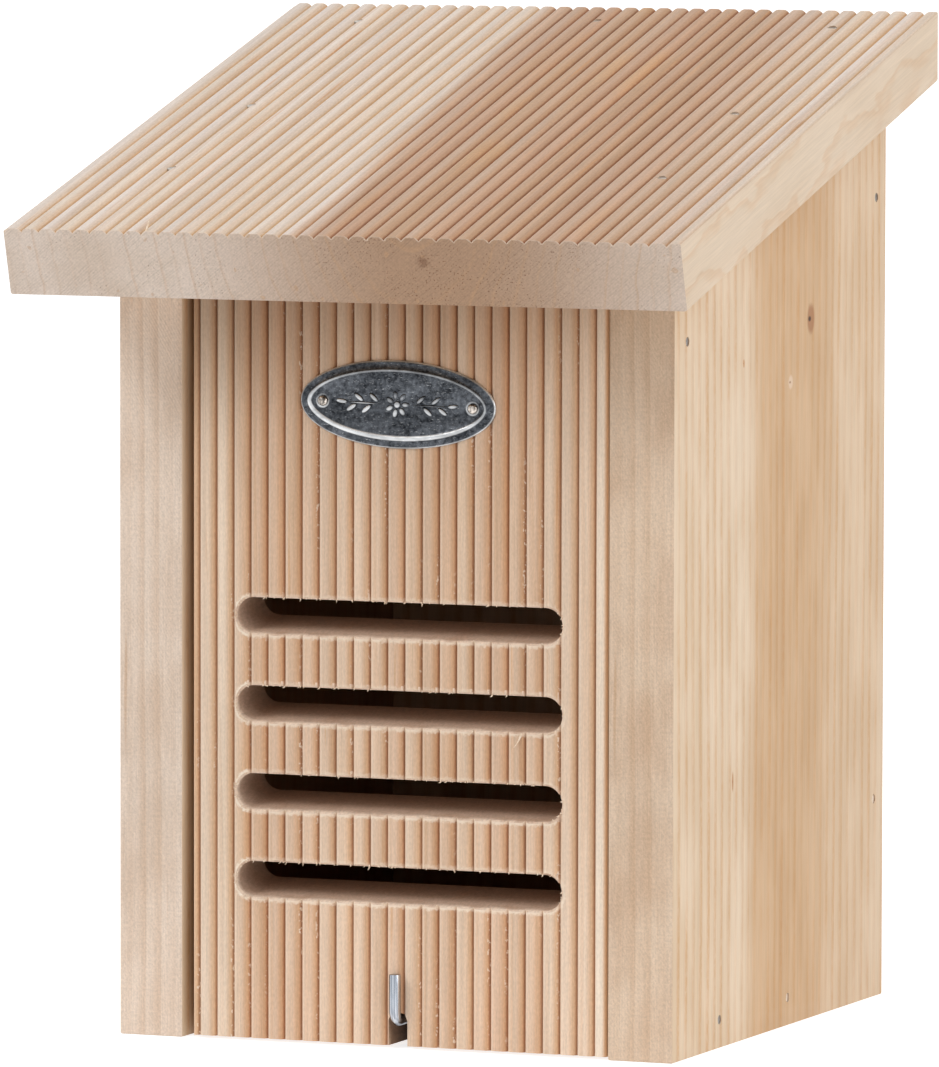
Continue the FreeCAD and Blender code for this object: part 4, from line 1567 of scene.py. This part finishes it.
@dataclass
class Splinters:
    """Torn pale fibres: short bent slivers along the slots' rims and at the ribs' ends."""

    seed: int
    colour: Colour = srgb(244, 228, 208)
    shadow: Colour = srgb(226, 198, 168)
    upper_count: int = 26
    lower_count: int = 12
    end_counts: tuple[int, int] = (20, 8)
    groove_count: int = 3

    def __post_init__(self) -> None:
        """Start the row of chances, and model one sliver for all."""
        self.chance = random.Random(self.seed)
        self.first = self.sliver()
        self.made: list[Piece] = []

    def sliver(self) -> Piece:
        """Sliver of length 1 along its own -Y, 1 thick at its root, bending towards its own +Z."""
        bpy.ops.mesh.primitive_circle_add(
            vertices=5, radius=0.5, fill_type="NGON", rotation=(QUARTER, 0, 0))
        sliver = added()
        tip = Vector((0, 0, 0))
        bends = ((0.02, 0.1, 1.0), (0.1, 0.2, 0.8), (0.2, -0.1, 0.65), (0.34, -0.3, 0.3))
        with editing(sliver):
            for rise, aside, taper in bends:
                step = Vector((aside, -0.25, rise))
                extrude(*step)
                tip += step
                resize((taper, 1, taper), tip)
        return face_outwards(sliver)

    def add(self, spot: Floats, turn: float, lift: float, length: float, thickness: float) -> None:
        """Add one sliver on a board.

        Args:
            spot: Its root in the board's frame.
            turn: Turned in the board's face, from hanging down.
            lift: Lifted out of the board's face.
            length: Of the sliver.
            thickness: Of its root.
        """
        twin = copy_of(self.first)
        place = (moved(spot) @ spun(turn, "Z") @ spun(-lift, "X")
                 @ Matrix.Diagonal((thickness, length, thickness, 1)))
        twin.data.transform(place)
        self.made.append(twin)

    def sprout(self, spot: Floats, turn: Range, lift: Range,
               length: Range, thickness: Range) -> None:
        """Add one sliver, with all but its root drawn from ranges, the last two in millimetres."""
        pull = self.chance.uniform
        self.add(spot, pull(*turn), pull(*lift), pull(*length) * MM, pull(*thickness) * MM)

    def finish(self, place: Matrix) -> Piece:
        """Join the slivers, put them on their board and paint them.

        Args:
            place: From the board's frame to the part's frame.

        Returns:
            All slivers as one object.
        """
        bpy.data.objects.remove(self.first, do_unlink=True)
        slivers = settle(join(self.made), place)
        material, bench = new_material(f"torn_fibre_{self.seed}")
        fine = bench.object_place().noise(2500)
        bench.surface(Base_Color=fine.ease(0.3, 0.7).mix(self.colour, self.shadow),
                      Roughness=fine.ease(0.2, 0.8, 0.6, 0.8), Specular_IOR_Level=0.2)
        return paint(shade(slivers, 60), [material])

    def along_slots(self, stock: RibbedStock, place: Matrix, heights: Floats,
                    half: float, tall: float) -> Piece:
        """Slivers round the mouths of the slots.

        Args:
            stock: The panel's board.
            place: From the board's frame to the part's frame.
            heights: Middles of the slots above the board's lower end.
            half: Half of a slot's straight part.
            tall: Height of a slot's mouth.

        Returns:
            The slivers as one object.
        """
        pull = self.chance.uniform
        grooves = [stock.rib_shift + (number + 0.5) * stock.pitch for number in range(-10, 10)]
        grooves = [x for x in grooves if abs(x) < half]
        face = stock.thickness
        for height in heights:
            upper = height + tall / 2
            lower = height - tall / 2
            for x in grooves:
                often = 0.7 if x < 0 else 0.45
                while self.chance.random() < often:
                    often *= 0.6
                    spot = (x + pull(-0.9, 0.7) * MM, upper + pull(0.0, 0.5) * MM,
                            face - pull(0.1, 0.9) * MM)
                    self.sprout(spot, (-0.8, 0.8), (0.0, 0.5), (0.4, 1.2), (0.25, 0.5))
            for _ in range(self.upper_count):
                spot = (pull(-half, half), upper + pull(0.1, 0.4) * MM, face - pull(0.0, 0.3) * MM)
                self.sprout(spot, (-1.2, 1.2), (0.1, 0.7), (0.3, 0.8), (0.2, 0.42))
            for side, count in zip(Side, self.end_counts):
                for _ in range(count):
                    angle = pull(-1.3, 1.3)
                    out = tall / 2 + pull(0.05, 0.4) * MM
                    spot = (side.value * (half + out * math.cos(angle)), height + out * math.sin(angle),
                            face - pull(0.0, 0.3) * MM)
                    self.sprout(spot, (-math.pi, math.pi), (0.1, 0.8), (0.4, 1.0), (0.2, 0.45))
            for _ in range(self.lower_count):
                x = self.chance.choice(grooves) + pull(-0.8, 0.8) * MM
                spot = (x, lower - pull(0.1, 0.4) * MM, face - pull(0.0, 0.5) * MM)
                self.sprout(spot, (math.pi - 0.9, math.pi + 0.9), (0.1, 0.8), (0.3, 1.0), (0.2, 0.42))
        # Two long fibres hang from the lower rim of the last slot but one
        rim = heights[-2] - tall / 2
        long_root = (34.6 * MM, rim - 0.2 * MM, face)
        self.add(long_root, turn=-0.45, lift=0.12, length=4.2 * MM, thickness=0.6 * MM)
        short_root = (21 * MM, rim - 0.1 * MM, face)
        self.add(short_root, turn=-0.9, lift=0.3, length=1.6 * MM, thickness=0.4 * MM)
        return self.finish(place)

    def along_end(self, stock: RibbedStock, place: Matrix) -> Piece:
        """Small burrs where the grooves of a board run out at its lower end.

        Args:
            stock: The board.
            place: From the board's frame to the part's frame.

        Returns:
            The burrs as one object.
        """
        pull = self.chance.uniform
        count = int(stock.width / 2 / stock.pitch)
        for number in range(-count, count):
            x = stock.rib_shift + (number + 0.5) * stock.pitch
            for _ in range(self.groove_count):
                aside = pull(-0.9, 0.9)
                bottom = stock.thickness - stock.groove + (abs(aside) * 0.5 - 0.2) * MM
                spot = (x + aside * MM, pull(0.32, 0.42) * MM, bottom)
                self.sprout(spot, (-0.8, 0.8), (-0.7, 0.1), (0.25, 0.4), (0.3, 0.6))
        # One long curl stands on the left
        root = (-54 * MM, 1.0 * MM, stock.thickness - 0.3 * MM)
        self.add(root, turn=2.7, lift=0.9, length=3.4 * MM, thickness=0.6 * MM)
        return self.finish(place)


@dataclass
class Roof:
    """Sloping ribbed roof board."""

    layout: Layout
    nailing: Nailing
    rib_shift: float = 0.6 * MM

    def build(self) -> None:
        """Model, carve, paint and hand over the roof."""
        low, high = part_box("roof_board")
        slope = self.layout.slope
        lower_front = low.y + ROOF_THICKNESS * math.sin(slope)
        run = (high.y - lower_front) / math.cos(slope)
        over_run = ROOF_THICKNESS * math.tan(slope)
        start = Vector((0, lower_front, self.layout.under_roof(lower_front)))
        place = moved(start) @ self.layout.roof_turn
        stock = RibbedStock(high.x - low.x, run + over_run, ROOF_THICKNESS, self.rib_shift,
                            groove=1.0 * MM, crest_half=0.8 * MM)
        roof = settle(stock.build(), place)
        with editing(roof):
            slice_off((0, high.y, 0), (0, 1, 0), fill=True)
        face_outwards(roof)
        carve(roof, self.nailing.cutters("roof"))
        to_board = place.inverted().to_3x3()

        def choose(point: Vector, normal: Vector) -> int:
            """Finish of a face, by where it looks."""
            local = to_board @ normal
            if local.z > 0.3:
                return 0
            return 1 if abs(local.y) > LOOKS else 2

        ribbed = RibbedFace(
            "roof_ribs", place, stock.pitch, stock.rib_shift, ROOF_THICKNESS,
            pale=srgb(222, 209, 199), warm=srgb(220, 202, 183), heart=srgb(188, 154, 126),
            blush=srgb(190, 154, 128), amber=srgb(202, 156, 106), groove=srgb(252, 235, 208),
            heart_groove_shade=srgb(206, 178, 156), flank=srgb(246, 234, 220), fleck_amount=0.1, sap_width=0.0,
            band=HeartBand(-13 * MM, 87 * MM, 0.032, 0.14, fade=11 * MM, stop_fade=44 * MM, amount=0.95))
        end = SawnFace(
            "roof_end", place, pale=srgb(219, 203, 190), dull=srgb(200, 179, 160),
            heart=srgb(168, 135, 108), heart_middle=27 * MM, heart_reach=74 * MM, heart_amount=0.95,
            saw_amount=0.6, ring_amount=0.34, blotch=(23 * MM, 11.5 * MM, 2.6 * MM), ribs=stock)
        side = PlankFace("roof_side", place, early=srgb(223, 202, 178), heart_amount=0.0,
                         line_amount=0.05, contour_amount=0.22, figure_amount=0.02)
        paint(shade(roof), [ribbed.make(), end.make(), side.make()], choose)
        roof = join([roof, Splinters(11).along_end(stock, place)])
        hand_over(roof, "ribbed_roof", "box", ["roof_board"])
        steel = ROOF_STEEL.make()
        self.nailing.build(self.nailing.roof_places(), steel, steel)


@dataclass
class FrontPanel:
    """Ribbed front with four rising entrance slots and a notch for the hook, hung on two pivot nails."""

    nailing: Nailing
    rib_shift: float = -0.85 * MM
    slot_length: float = 91.5 * MM
    slot_height: float = 9.3 * MM
    slot_rise: float = math.radians(11)
    slot_pitch: float = 23.1 * MM
    slot_count: int = 4
    lowest_slot: float = 42.7 * MM
    slot_lead: float = 1 * MM
    mouth_round: float = 0.45 * MM
    notch_half: float = 2.7 * MM
    notch_top: float = 9.6 * MM
    notch_lead: float = 5 * MM
    notch_reach: float = 30 * MM

    def __post_init__(self) -> None:
        """Read the panel's place, and find where its slots lie on its face, which they meet at a slant."""
        self.low, self.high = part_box("front_panel")
        self.width, self.thickness, self.length = self.high - self.low
        self.middle = (self.low.x + self.high.x) / 2
        self.place = moved((self.middle, self.high.y, self.low.z)) @ spun(QUARTER, "X")
        self.mouth_height = self.slot_height / math.cos(self.slot_rise)
        self.mouth_half = (self.slot_length - self.mouth_height) / 2
        lowest = self.lowest_slot - self.low.z
        self.heights = [lowest + number * self.slot_pitch for number in range(self.slot_count)]

    def slot_cutter(self, number: int) -> Piece:
        """Cutter for one slot, with a flared mouth.

        Args:
            number: Of the slot, from the lowest.

        Returns:
            The closed shape.
        """
        lead = self.slot_lead
        flare = lead + self.mouth_round
        height = self.lowest_slot + number * self.slot_pitch
        start = Vector((self.middle, self.low.y - lead, height))
        cutter = obround(self.slot_length, self.mouth_height, flare,
                         moved(start) @ spun(-QUARTER, "X"), 72)
        reach = self.thickness + lead
        with editing(cutter):
            pick_facing(cutter, (0, -1, 0))
            wider = (1 + 2 * flare / self.slot_length, 1, 1 + 2 * flare / self.mouth_height)
            resize(wider, start)
            pick_facing(cutter, (0, 1, 0))
            extrude(y=reach, z=reach * math.tan(self.slot_rise))
        return face_outwards(cutter)

    def notch_cutter(self) -> Piece:
        """Cutter for the notch: the upper part of an upright round-ended bar."""
        start = moved((self.middle, self.low.y - self.notch_lead, 0))
        upright = spun(-QUARTER, "X") @ spun(QUARTER, "Z")
        return obround(2 * self.notch_top, 2 * self.notch_half, self.notch_reach, start @ upright)

    def from_slot(self, spot: Vector) -> float:
        """Distance of a place in the panel's own frame from the nearest slot's outline."""
        aside = max(abs(spot.x) - self.mouth_half, 0.0)
        return min(math.hypot(aside, spot.y - height) for height in self.heights) - self.mouth_height / 2

    def build(self) -> None:
        """Model, carve, paint and hand over the panel."""
        place, thickness = self.place, self.thickness
        stock = RibbedStock(self.width, self.length, thickness, self.rib_shift, corner=1.2 * MM)
        panel = settle(stock.build(), place)
        slots = [self.slot_cutter(number) for number in range(self.slot_count)]
        carve(panel, [*slots, self.notch_cutter()])
        carve(panel, self.nailing.cutters("pivot"))
        to_board = place.inverted()

        def choose(point: Vector, normal: Vector) -> int:
            """Finish of a face, by where it lies and looks."""
            local = to_board.to_3x3() @ normal
            spot = to_board @ point
            if local.z > 0.35:
                rim = abs(local.y) > 0.3 or (abs(local.x) > 0.3 and spot.z > thickness - self.mouth_round)
                return 1 if rim and self.from_slot(spot) < 2 * self.mouth_round else 0
            if local.z < -LOOKS or abs(spot.x) > stock.width / 2 - 2 * stock.corner:
                return 2
            return 3 if local.y > -LOOKS and spot.y < self.notch_top else 1

        row = SlotRow(self.mouth_half, self.mouth_height / 2, self.heights[0],
                      self.slot_pitch, self.slot_count)
        # The ribbed front gets painted light low down and a painted, redder shadow under the roof's
        # overhang.
        ribbed = RibbedFace(
            "front_ribs", place, stock.pitch, stock.rib_shift, thickness,
            pale=srgb(230, 206, 182), warm=srgb(214, 181, 153), heart=srgb(204, 169, 141),
            blush=srgb(213, 174, 147), band=HeartBand(-80 * MM, 80 * MM, amount=0.3),
            half_width=stock.width / 2, sap_width=16 * MM, slots=row,
            fade=PaintedLightFade(1.17, 90 * MM, 0.48, 162 * MM, 208 * MM, 1.12))
        # Slot and notch walls: a painted highlight at the mouth and painted shade inwards, a strong
        # painted shadow in the notch
        cut = SlotFace("front_cut", place, thickness)
        notch = SlotFace("front_notch", place, thickness, mouth=srgb(206, 172, 144),
                         pale=srgb(158, 126, 102), deep=srgb(62, 45, 36))
        back = PlankFace("front_back", place, heart_amount=0.4)
        paint(shade(panel), [ribbed.make(), cut.make(), back.make(), notch.make()], choose)
        torn = Splinters(5).along_slots(stock, place, self.heights, self.mouth_half, self.mouth_height)
        panel = join([panel, torn])
        hand_over(panel, "ribbed_front", "swing_panel", ["front_panel"])


@dataclass
class OvalPlate:
    """Stamped oval plate with a rolled rim, a raised bead and two domed pins."""

    tilt: float = math.radians(1.4)
    width: float = 54.8 * MM
    height: float = 23 * MM
    rim: float = 0.45 * MM
    # Steps of the stamped profile, from the rim inwards: how far in, and how far up
    profile: tuple[Floats, ...] = (
        (0.28 * MM, 0.27 * MM), (0.35 * MM, 0.10 * MM), (1.25 * MM, 0.10 * MM), (0.35 * MM, 0.28 * MM),
        (0.30 * MM, 0.17 * MM), (0.30 * MM, 0.0), (0.35 * MM, -0.19 * MM), (0.40 * MM, -0.28 * MM))
    field: float = 0.9 * MM
    pin_spacing: float = 42.1 * MM
    pin_radius: float = 1.4 * MM
    pin_height: float = 0.9 * MM
    pin_shank: float = 0.65 * MM
    pin_reach: float = 9 * MM
    dimple_round: float = 7 * MM
    dimple_depth: float = 0.24 * MM
    sides: int = 128
    relief: float = 0.5 * MM
    petals: int = 7
    petal_out: float = 2.3 * MM
    stem_middle: float = 9.4 * MM
    # Leaves of the right-hand sprig: middle along and across the plate, and turn
    leaves: tuple[Floats, ...] = (
        (6.6 * MM, 1.5 * MM, 0.7), (8.6 * MM, -1.5 * MM, -0.7), (10.8 * MM, 1.4 * MM, 0.65),
        (12.8 * MM, -1.3 * MM, -0.6), (15.6 * MM, 0.2 * MM, 0.1))

    @property
    def pin_row(self) -> Floats:
        """Places of the pins along the plate."""
        return (-self.pin_spacing / 2, self.pin_spacing / 2)

    def build(self) -> None:
        """Model, paint and hand over the plate and its pins."""
        low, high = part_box("name_plate")
        middle = (low + high) / 2
        place = moved((middle.x, high.y, middle.z)) @ spun(QUARTER, "X") @ spun(-self.tilt, "Z")
        bpy.ops.mesh.primitive_cylinder_add(
            vertices=self.sides, radius=0.5, depth=self.rim, location=(0, 0, self.rim / 2))
        plate = added((self.width, self.height, 1))
        with editing(plate):
            pick_facing(plate, (0, 0, 1))
            for inward, upward in self.profile:
                bpy.ops.mesh.inset(thickness=inward, depth=upward)
        dimples = []
        above = self.field + self.dimple_round - self.dimple_depth
        for x in self.pin_row:
            bpy.ops.mesh.primitive_uv_sphere_add(
                segments=32, ring_count=48, radius=self.dimple_round, location=(x, 0, above))
            dimples.append(added())
        carve(plate, dimples)
        plate = join([plate, *self.ornament()])
        settle(shade(plate, 50), place)
        pins = tuple(place @ Vector((x, 0, 0)) for x in self.pin_row)
        zinc = StampedZinc("plate_zinc", middle.z, high.y, self.height / 2, pins)
        paint(plate, [zinc.make()])
        hand_over(plate, "oval_plate", "swing_panel", ["name_plate"])
        self.build_pins(place)

    def dome(self, size: Floats, x: float, y: float, turn: float) -> Piece:
        """Low stamped dome on the plate's field.

        Args:
            size: Length, width and height.
            x: Its middle along the plate.
            y: Its middle across the plate.
            turn: Of its length from the plate's own X.

        Returns:
            The closed dome in the plate's frame.
        """
        bpy.ops.mesh.primitive_uv_sphere_add(segments=20, ring_count=12, radius=1)
        dome = added((size[0] / 2, size[1] / 2, size[2]))
        settle(dome, moved((x, y, self.field)) @ spun(turn, "Z"))
        with editing(dome):
            slice_off((0, 0, self.field - 0.1 * MM), (0, 0, -1), fill=True)
        return face_outwards(dome)

    def ornament(self) -> list[Piece]:
        """Plain ornament for the field: a small flower between two leafy sprigs."""
        heart = (2.0 * MM, 2.0 * MM, self.relief)
        petal = (2.5 * MM, 1.5 * MM, 0.8 * self.relief)
        stem = (10.5 * MM, 0.6 * MM, 0.7 * self.relief)
        leaf = (3.4 * MM, 1.3 * MM, self.relief)
        made = [self.dome(heart, 0, 0, 0)]
        for number in range(self.petals):
            angle = math.tau * number / self.petals
            made.append(self.dome(petal, self.petal_out * math.cos(angle),
                                  self.petal_out * math.sin(angle), angle))
        for side in (-1, 1):
            made.append(self.dome(stem, side * self.stem_middle, 0, 0))
            made += [self.dome(leaf, side * x, y, side * turn) for x, y, turn in self.leaves]
        return made

    def build_pins(self, place: Matrix) -> None:
        """Model, paint and hand over the pins.

        Args:
            place: From the plate's frame to the part's frame.
        """
        pins = []
        for x in self.pin_row:
            bpy.ops.mesh.primitive_uv_sphere_add(segments=28, ring_count=16, radius=1)
            pin = added((self.pin_radius, self.pin_radius, self.pin_height))
            with editing(pin):
                slice_off((0, 0, 0), (0, 0, -1), fill=True)
                pick_facing(pin, (0, 0, -1))
                bpy.ops.mesh.inset(thickness=self.pin_radius - self.pin_shank)
                sharpen(self.pin_reach, self.pin_shank)
            face_outwards(pin)
            seat = moved((x, 0, self.field))
            pins.append(settle(shade(pin, 40), place @ seat))
        steel = ZincFinish("pin_steel", srgb(30, 24, 21), srgb(226, 216, 206), size=1300.0,
                           smooth=0.1, rough=0.26)
        pin = paint(join(pins), [steel.make()])
        hand_over(pin, "plate_pins", "swing_panel", ["name_plate_pins"])


@dataclass
class LatchHook:
    """Bent wire hook: its arm stands before the panel and its shank turns in the floor board."""

    bend: float = 3 * MM
    sides: int = 32
    bend_steps: int = 12
    end_round: float = 0.15
    tip_taper: float = 0.15
    bore_lead: float = 2 * MM
    room: float = 0.05 * MM
    tip_room: float = 0.5 * MM

    def __post_init__(self) -> None:
        """Read the hook's place: its wire's radius, its middle, and the lines of its arm and shank."""
        low, self.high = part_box("latch_hook")
        self.wire = (self.high.x - low.x) / 2
        self.middle = (low.x + self.high.x) / 2
        self.arm_line = low.y + self.wire
        self.shank_line = low.z + self.wire

    def bore(self) -> Piece:
        """Room for the shank in the floor board."""
        floor_low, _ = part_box("floor_board")
        start = Vector((self.middle, floor_low.y - self.bore_lead, self.shank_line))
        return rod(self.wire + self.room, self.high.y + self.tip_room - start.y,
                   moved(start) @ spun(-QUARTER, "X"), self.sides)

    def build(self) -> None:
        """Model, paint and hand over the hook."""
        high, wire, middle = self.high, self.wire, self.middle
        arm_line, shank_line = self.arm_line, self.shank_line
        bpy.ops.mesh.primitive_circle_add(
            vertices=self.sides, radius=wire, fill_type="NGON", location=(middle, arm_line, high.z))
        hook = added()
        with editing(hook):
            extrude(z=shank_line + self.bend - high.z)
            bpy.ops.mesh.spin(
                steps=self.bend_steps, angle=-QUARTER, axis=(1, 0, 0),
                center=(middle, arm_line + self.bend, shank_line + self.bend))
            extrude(y=high.y - 2 * wire - arm_line - self.bend)
            extrude(y=2 * wire)
            resize((self.tip_taper, 1, self.tip_taper), (middle, 0, shank_line))
        face_outwards(hook)
        with editing(hook, Element.EDGE):
            pick(hook, Element.EDGE, lambda point, normal: point.z > high.z - CLOSE)
            bpy.ops.mesh.bevel(offset=self.end_round * wire, segments=2, affect="EDGES")
        # Strong upright streaks, partly drawn-wire marks and partly painted reflections along the wire,
        # and painted shade at its sides
        zinc = ZincFinish("hook_zinc", srgb(148, 155, 166), srgb(226, 231, 238), size=260.0, smooth=0.16,
                          rough=0.26, edge=0.45, drawn=0.85)
        paint(shade(hook, 40), [zinc.make()])
        hand_over(hook, "wire_hook", "latch", ["latch_hook"])


@dataclass
class KeyholeHanger:
    """Keyhole plate let into the back board, and its two cross-slotted screws."""

    keyhole_entry: float = 4.5 * MM
    keyhole_slot: float = 4.6 * MM
    keyhole_travel: float = 11 * MM
    recess_room: float = 0.3 * MM
    pocket_margin: float = 1.5 * MM
    pocket_depth: float = 8 * MM
    screw_spacing: float = 40 * MM
    screw_radius: float = 1.5 * MM
    screw_head: float = 2.9 * MM
    screw_head_height: float = 1.4 * MM
    screw_length: float = 12 * MM
    cross_width: float = 0.8 * MM
    cross_length: float = 3.2 * MM
    cross_depth: float = 0.9 * MM
    cross_turn: float = 0.4
    cross_taper: Floats = (0.45, 0.8)
    screw_room: float = 0.05 * MM
    edge: float = 0.15 * MM

    def __post_init__(self) -> None:
        """Read the plate's place: its own X stands upright and its own Z looks out of the back."""
        low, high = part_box("hanger_plate")
        self.wide, self.thick, self.tall = high - low
        middle = (low + high) / 2
        upright = Matrix(((0, 1, 0, 0), (0, 0, 1, 0), (1, 0, 0, 0), (0, 0, 0, 1)))
        self.place = moved((middle.x, high.y, middle.z)) @ upright
        self.screw_rises = (-self.screw_spacing / 2, self.screw_spacing / 2)

    def at(self, rise: float = 0.0, depth: float = 0.0) -> Matrix:
        """Place above the plate's middle, a depth below the back face."""
        return self.place @ moved((rise, 0, -depth))

    def countersink(self, rise: float, room: float = 0.0) -> Piece:
        """Outline of a screw.

        Args:
            rise: Above the plate's middle.
            room: How much larger it is all round.

        Returns:
            The closed shape in its place.
        """
        bpy.ops.mesh.primitive_cone_add(
            vertices=32, radius1=self.screw_radius + room, radius2=self.screw_head + room,
            depth=self.screw_head_height, location=(0, 0, -self.screw_head_height / 2))
        screw = added()
        with editing(screw):
            pick_facing(screw, (0, 0, -1))
            sharpen(self.screw_length - self.screw_head_height, self.screw_radius)
        return settle(face_outwards(screw), self.at(rise))

    def bores(self) -> list[Piece]:
        """Room for both screws."""
        return [self.countersink(rise, self.screw_room) for rise in self.screw_rises]

    def cutters(self) -> list[Piece]:
        """Room in the back board: the plate's recess, the keyhole's pocket and the screws."""
        room = 2 * self.recess_room
        pocket = 2 * (self.keyhole_entry + self.pocket_margin)
        bottom = self.thick + self.pocket_depth
        bores = join(self.bores())
        return [
            obround(self.tall + room, self.wide + room, 3 * self.thick, self.at(depth=self.thick)),
            obround(pocket + self.keyhole_travel, pocket, bottom, self.at(depth=bottom)),
            bores,
        ]

    def build(self) -> None:
        """Model, paint and hand over the plate and its screws."""
        plate = obround(self.tall, self.wide, self.thick, self.at(depth=self.thick))
        through = 3 * self.thick
        below = 2 * self.thick
        length = self.keyhole_travel + self.keyhole_slot
        slot = obround(length, self.keyhole_slot, through, self.at(depth=below))
        entry = rod(self.keyhole_entry, through, self.at(-self.keyhole_travel / 2, below), 40)
        carve(plate, [slot])
        carve(plate, [entry])
        carve(plate, self.bores())
        apply_modifier(plate, "BEVEL", width=self.edge, segments=2, limit_method="ANGLE",
                       angle_limit=math.radians(40))
        face_outwards(plate)
        zinc = ZincFinish("hanger_zinc", srgb(150, 152, 156), srgb(208, 210, 214), size=320.0)
        paint(shade(plate), [zinc.make()])
        hand_over(plate, "keyhole_plate", "box", ["hanger_plate"])
        screws = join([self.screw(rise) for rise in self.screw_rises])
        steel = ZincFinish("screw_zinc", srgb(140, 140, 138), srgb(214, 214, 210), size=900.0)
        paint(screws, [steel.make()])
        hand_over(screws, "hanger_cross_screws", "box", ["hanger_screws"])

    def screw(self, rise: float) -> Piece:
        """One screw with a cross recess.

        Args:
            rise: Above the plate's middle.

        Returns:
            The screw in its place.
        """
        screw = self.countersink(rise)
        for turn in (self.cross_turn, self.cross_turn + QUARTER):
            bpy.ops.mesh.primitive_cube_add(size=1)
            bar = added((self.cross_length, self.cross_width, 2 * self.cross_depth))
            with editing(bar):
                pick_facing(bar, (0, 0, -1))
                resize((*self.cross_taper, 1))
            carve(screw, [settle(bar, self.at(rise) @ spun(turn, "Z"))])
        return shade(screw)


@dataclass
class Studio:
    """Plain pale floor, soft light all round and the camera."""

    eye: Floats = (1.03605, -2.56207, 0.35167)
    pitch: float = math.radians(4.61)
    yaw: float = math.radians(22.23)
    roll: float = math.radians(0.11)
    focal_pixels: float = 10400.0
    image_height: float = 1067.0
    sensor: float = 36.0
    sky_low: float = 0.22
    sky_high: float = 0.88
    floor_glow: float = 0.4
    floor_lift: float = 0.36
    floor_size: float = 60.0
    floor_grey: Colour = (0.6, 0.6, 0.6, 1.0)
    white: Colour = (1.0, 1.0, 1.0, 1.0)
    aim: Floats = (0.0, 0.0, 0.12)

    def build(self) -> None:
        """Set up floor, light and camera."""
        self.build_floor()
        self.build_light()
        self.build_camera()

    def build_floor(self) -> None:
        """White floor that keeps the soft shadow."""
        bpy.ops.mesh.primitive_plane_add(size=self.floor_size, location=(0, 0, 0))
        floor = bpy.context.object
        floor.name = "studio_floor"
        material, bench = new_material("studio_floor")
        bench.surface(Base_Color=self.floor_grey, Roughness=1.0, Specular_IOR_Level=0.0,
                      Emission_Color=self.white,
                      Emission_Strength=bench.seen() * self.floor_lift + self.floor_glow)
        floor.data.materials.append(material)

    def build_light(self) -> None:
        """Even sky, white to the camera, with a soft key from the front left and a fill from the right."""
        world = bpy.data.worlds.new("studio_sky")
        bpy.context.scene.world = world
        world.use_nodes = True
        world.node_tree.nodes.clear()
        bench = Bench(world.node_tree)
        _, _, rise = bench.made("ShaderNodeTexCoord", {}, "Generated").split()
        glow = rise.ease(0.0, 0.9, self.sky_low, self.sky_high)
        strength = bench.seen().ease(0.0, 1.0, glow, 1.0)
        sky = bench.made("ShaderNodeBackground", {"Color": self.white, "Strength": strength})
        bench.feed(bench.node("ShaderNodeOutputWorld").inputs["Surface"], sky)
        self.lamp("key", (-1.5, -1.5, 2.0), 1.0, 23.0)
        self.lamp("fill", (2.2, -0.5, 1.2), 1.5, 16.0)

    def lamp(self, name: str, place: Floats, size: float, power: float) -> None:
        """Square soft lamp aimed at the house.

        Args:
            name: Its name.
            place: Where it stands.
            size: Side of its square.
            power: Watts.
        """
        light = bpy.data.lights.new(name, "AREA")
        light.size = size
        light.energy = power
        lamp = bpy.data.objects.new(name, light)
        bpy.context.scene.collection.objects.link(lamp)
        lamp.location = place
        ray = Vector(self.aim) - lamp.location
        lamp.rotation_euler = ray.to_track_quat("-Z", "Y").to_euler()

    def build_camera(self) -> None:
        """Camera at the photograph's viewing angle."""
        view = bpy.data.cameras.new("camera")
        camera = bpy.data.objects.new("camera", view)
        bpy.context.scene.collection.objects.link(camera)
        turn = Euler((QUARTER - self.pitch, 0, self.yaw)).to_matrix().to_4x4()
        camera.matrix_world = moved(self.eye) @ turn @ spun(self.roll, "Z")
        view.lens = self.sensor * self.focal_pixels / self.image_height
        view.sensor_width = self.sensor
        view.clip_end = 100.0
        bpy.context.scene.camera = camera


def main() -> None:
    """Build the house, piece by piece, and the studio around it."""
    logging.basicConfig(level=logging.INFO, format="%(message)s")
    bpy.context.scene.view_settings.view_transform = "Standard"
    layout = Layout.read()
    nailing = Nailing(layout, NailShape())
    hook = LatchHook()
    hanger = KeyholeHanger()
    boards = PlainBoards(layout, nailing)
    for side in Side:
        boards.build_wall(side)
    boards.build_back(hanger.cutters())
    boards.build_floor(hook.bore())
    Roof(layout, nailing).build()
    FrontPanel(nailing).build()
    OvalPlate().build()
    hook.build()
    hanger.build()
    Studio().build()


if __name__ == "__main__":
    main()
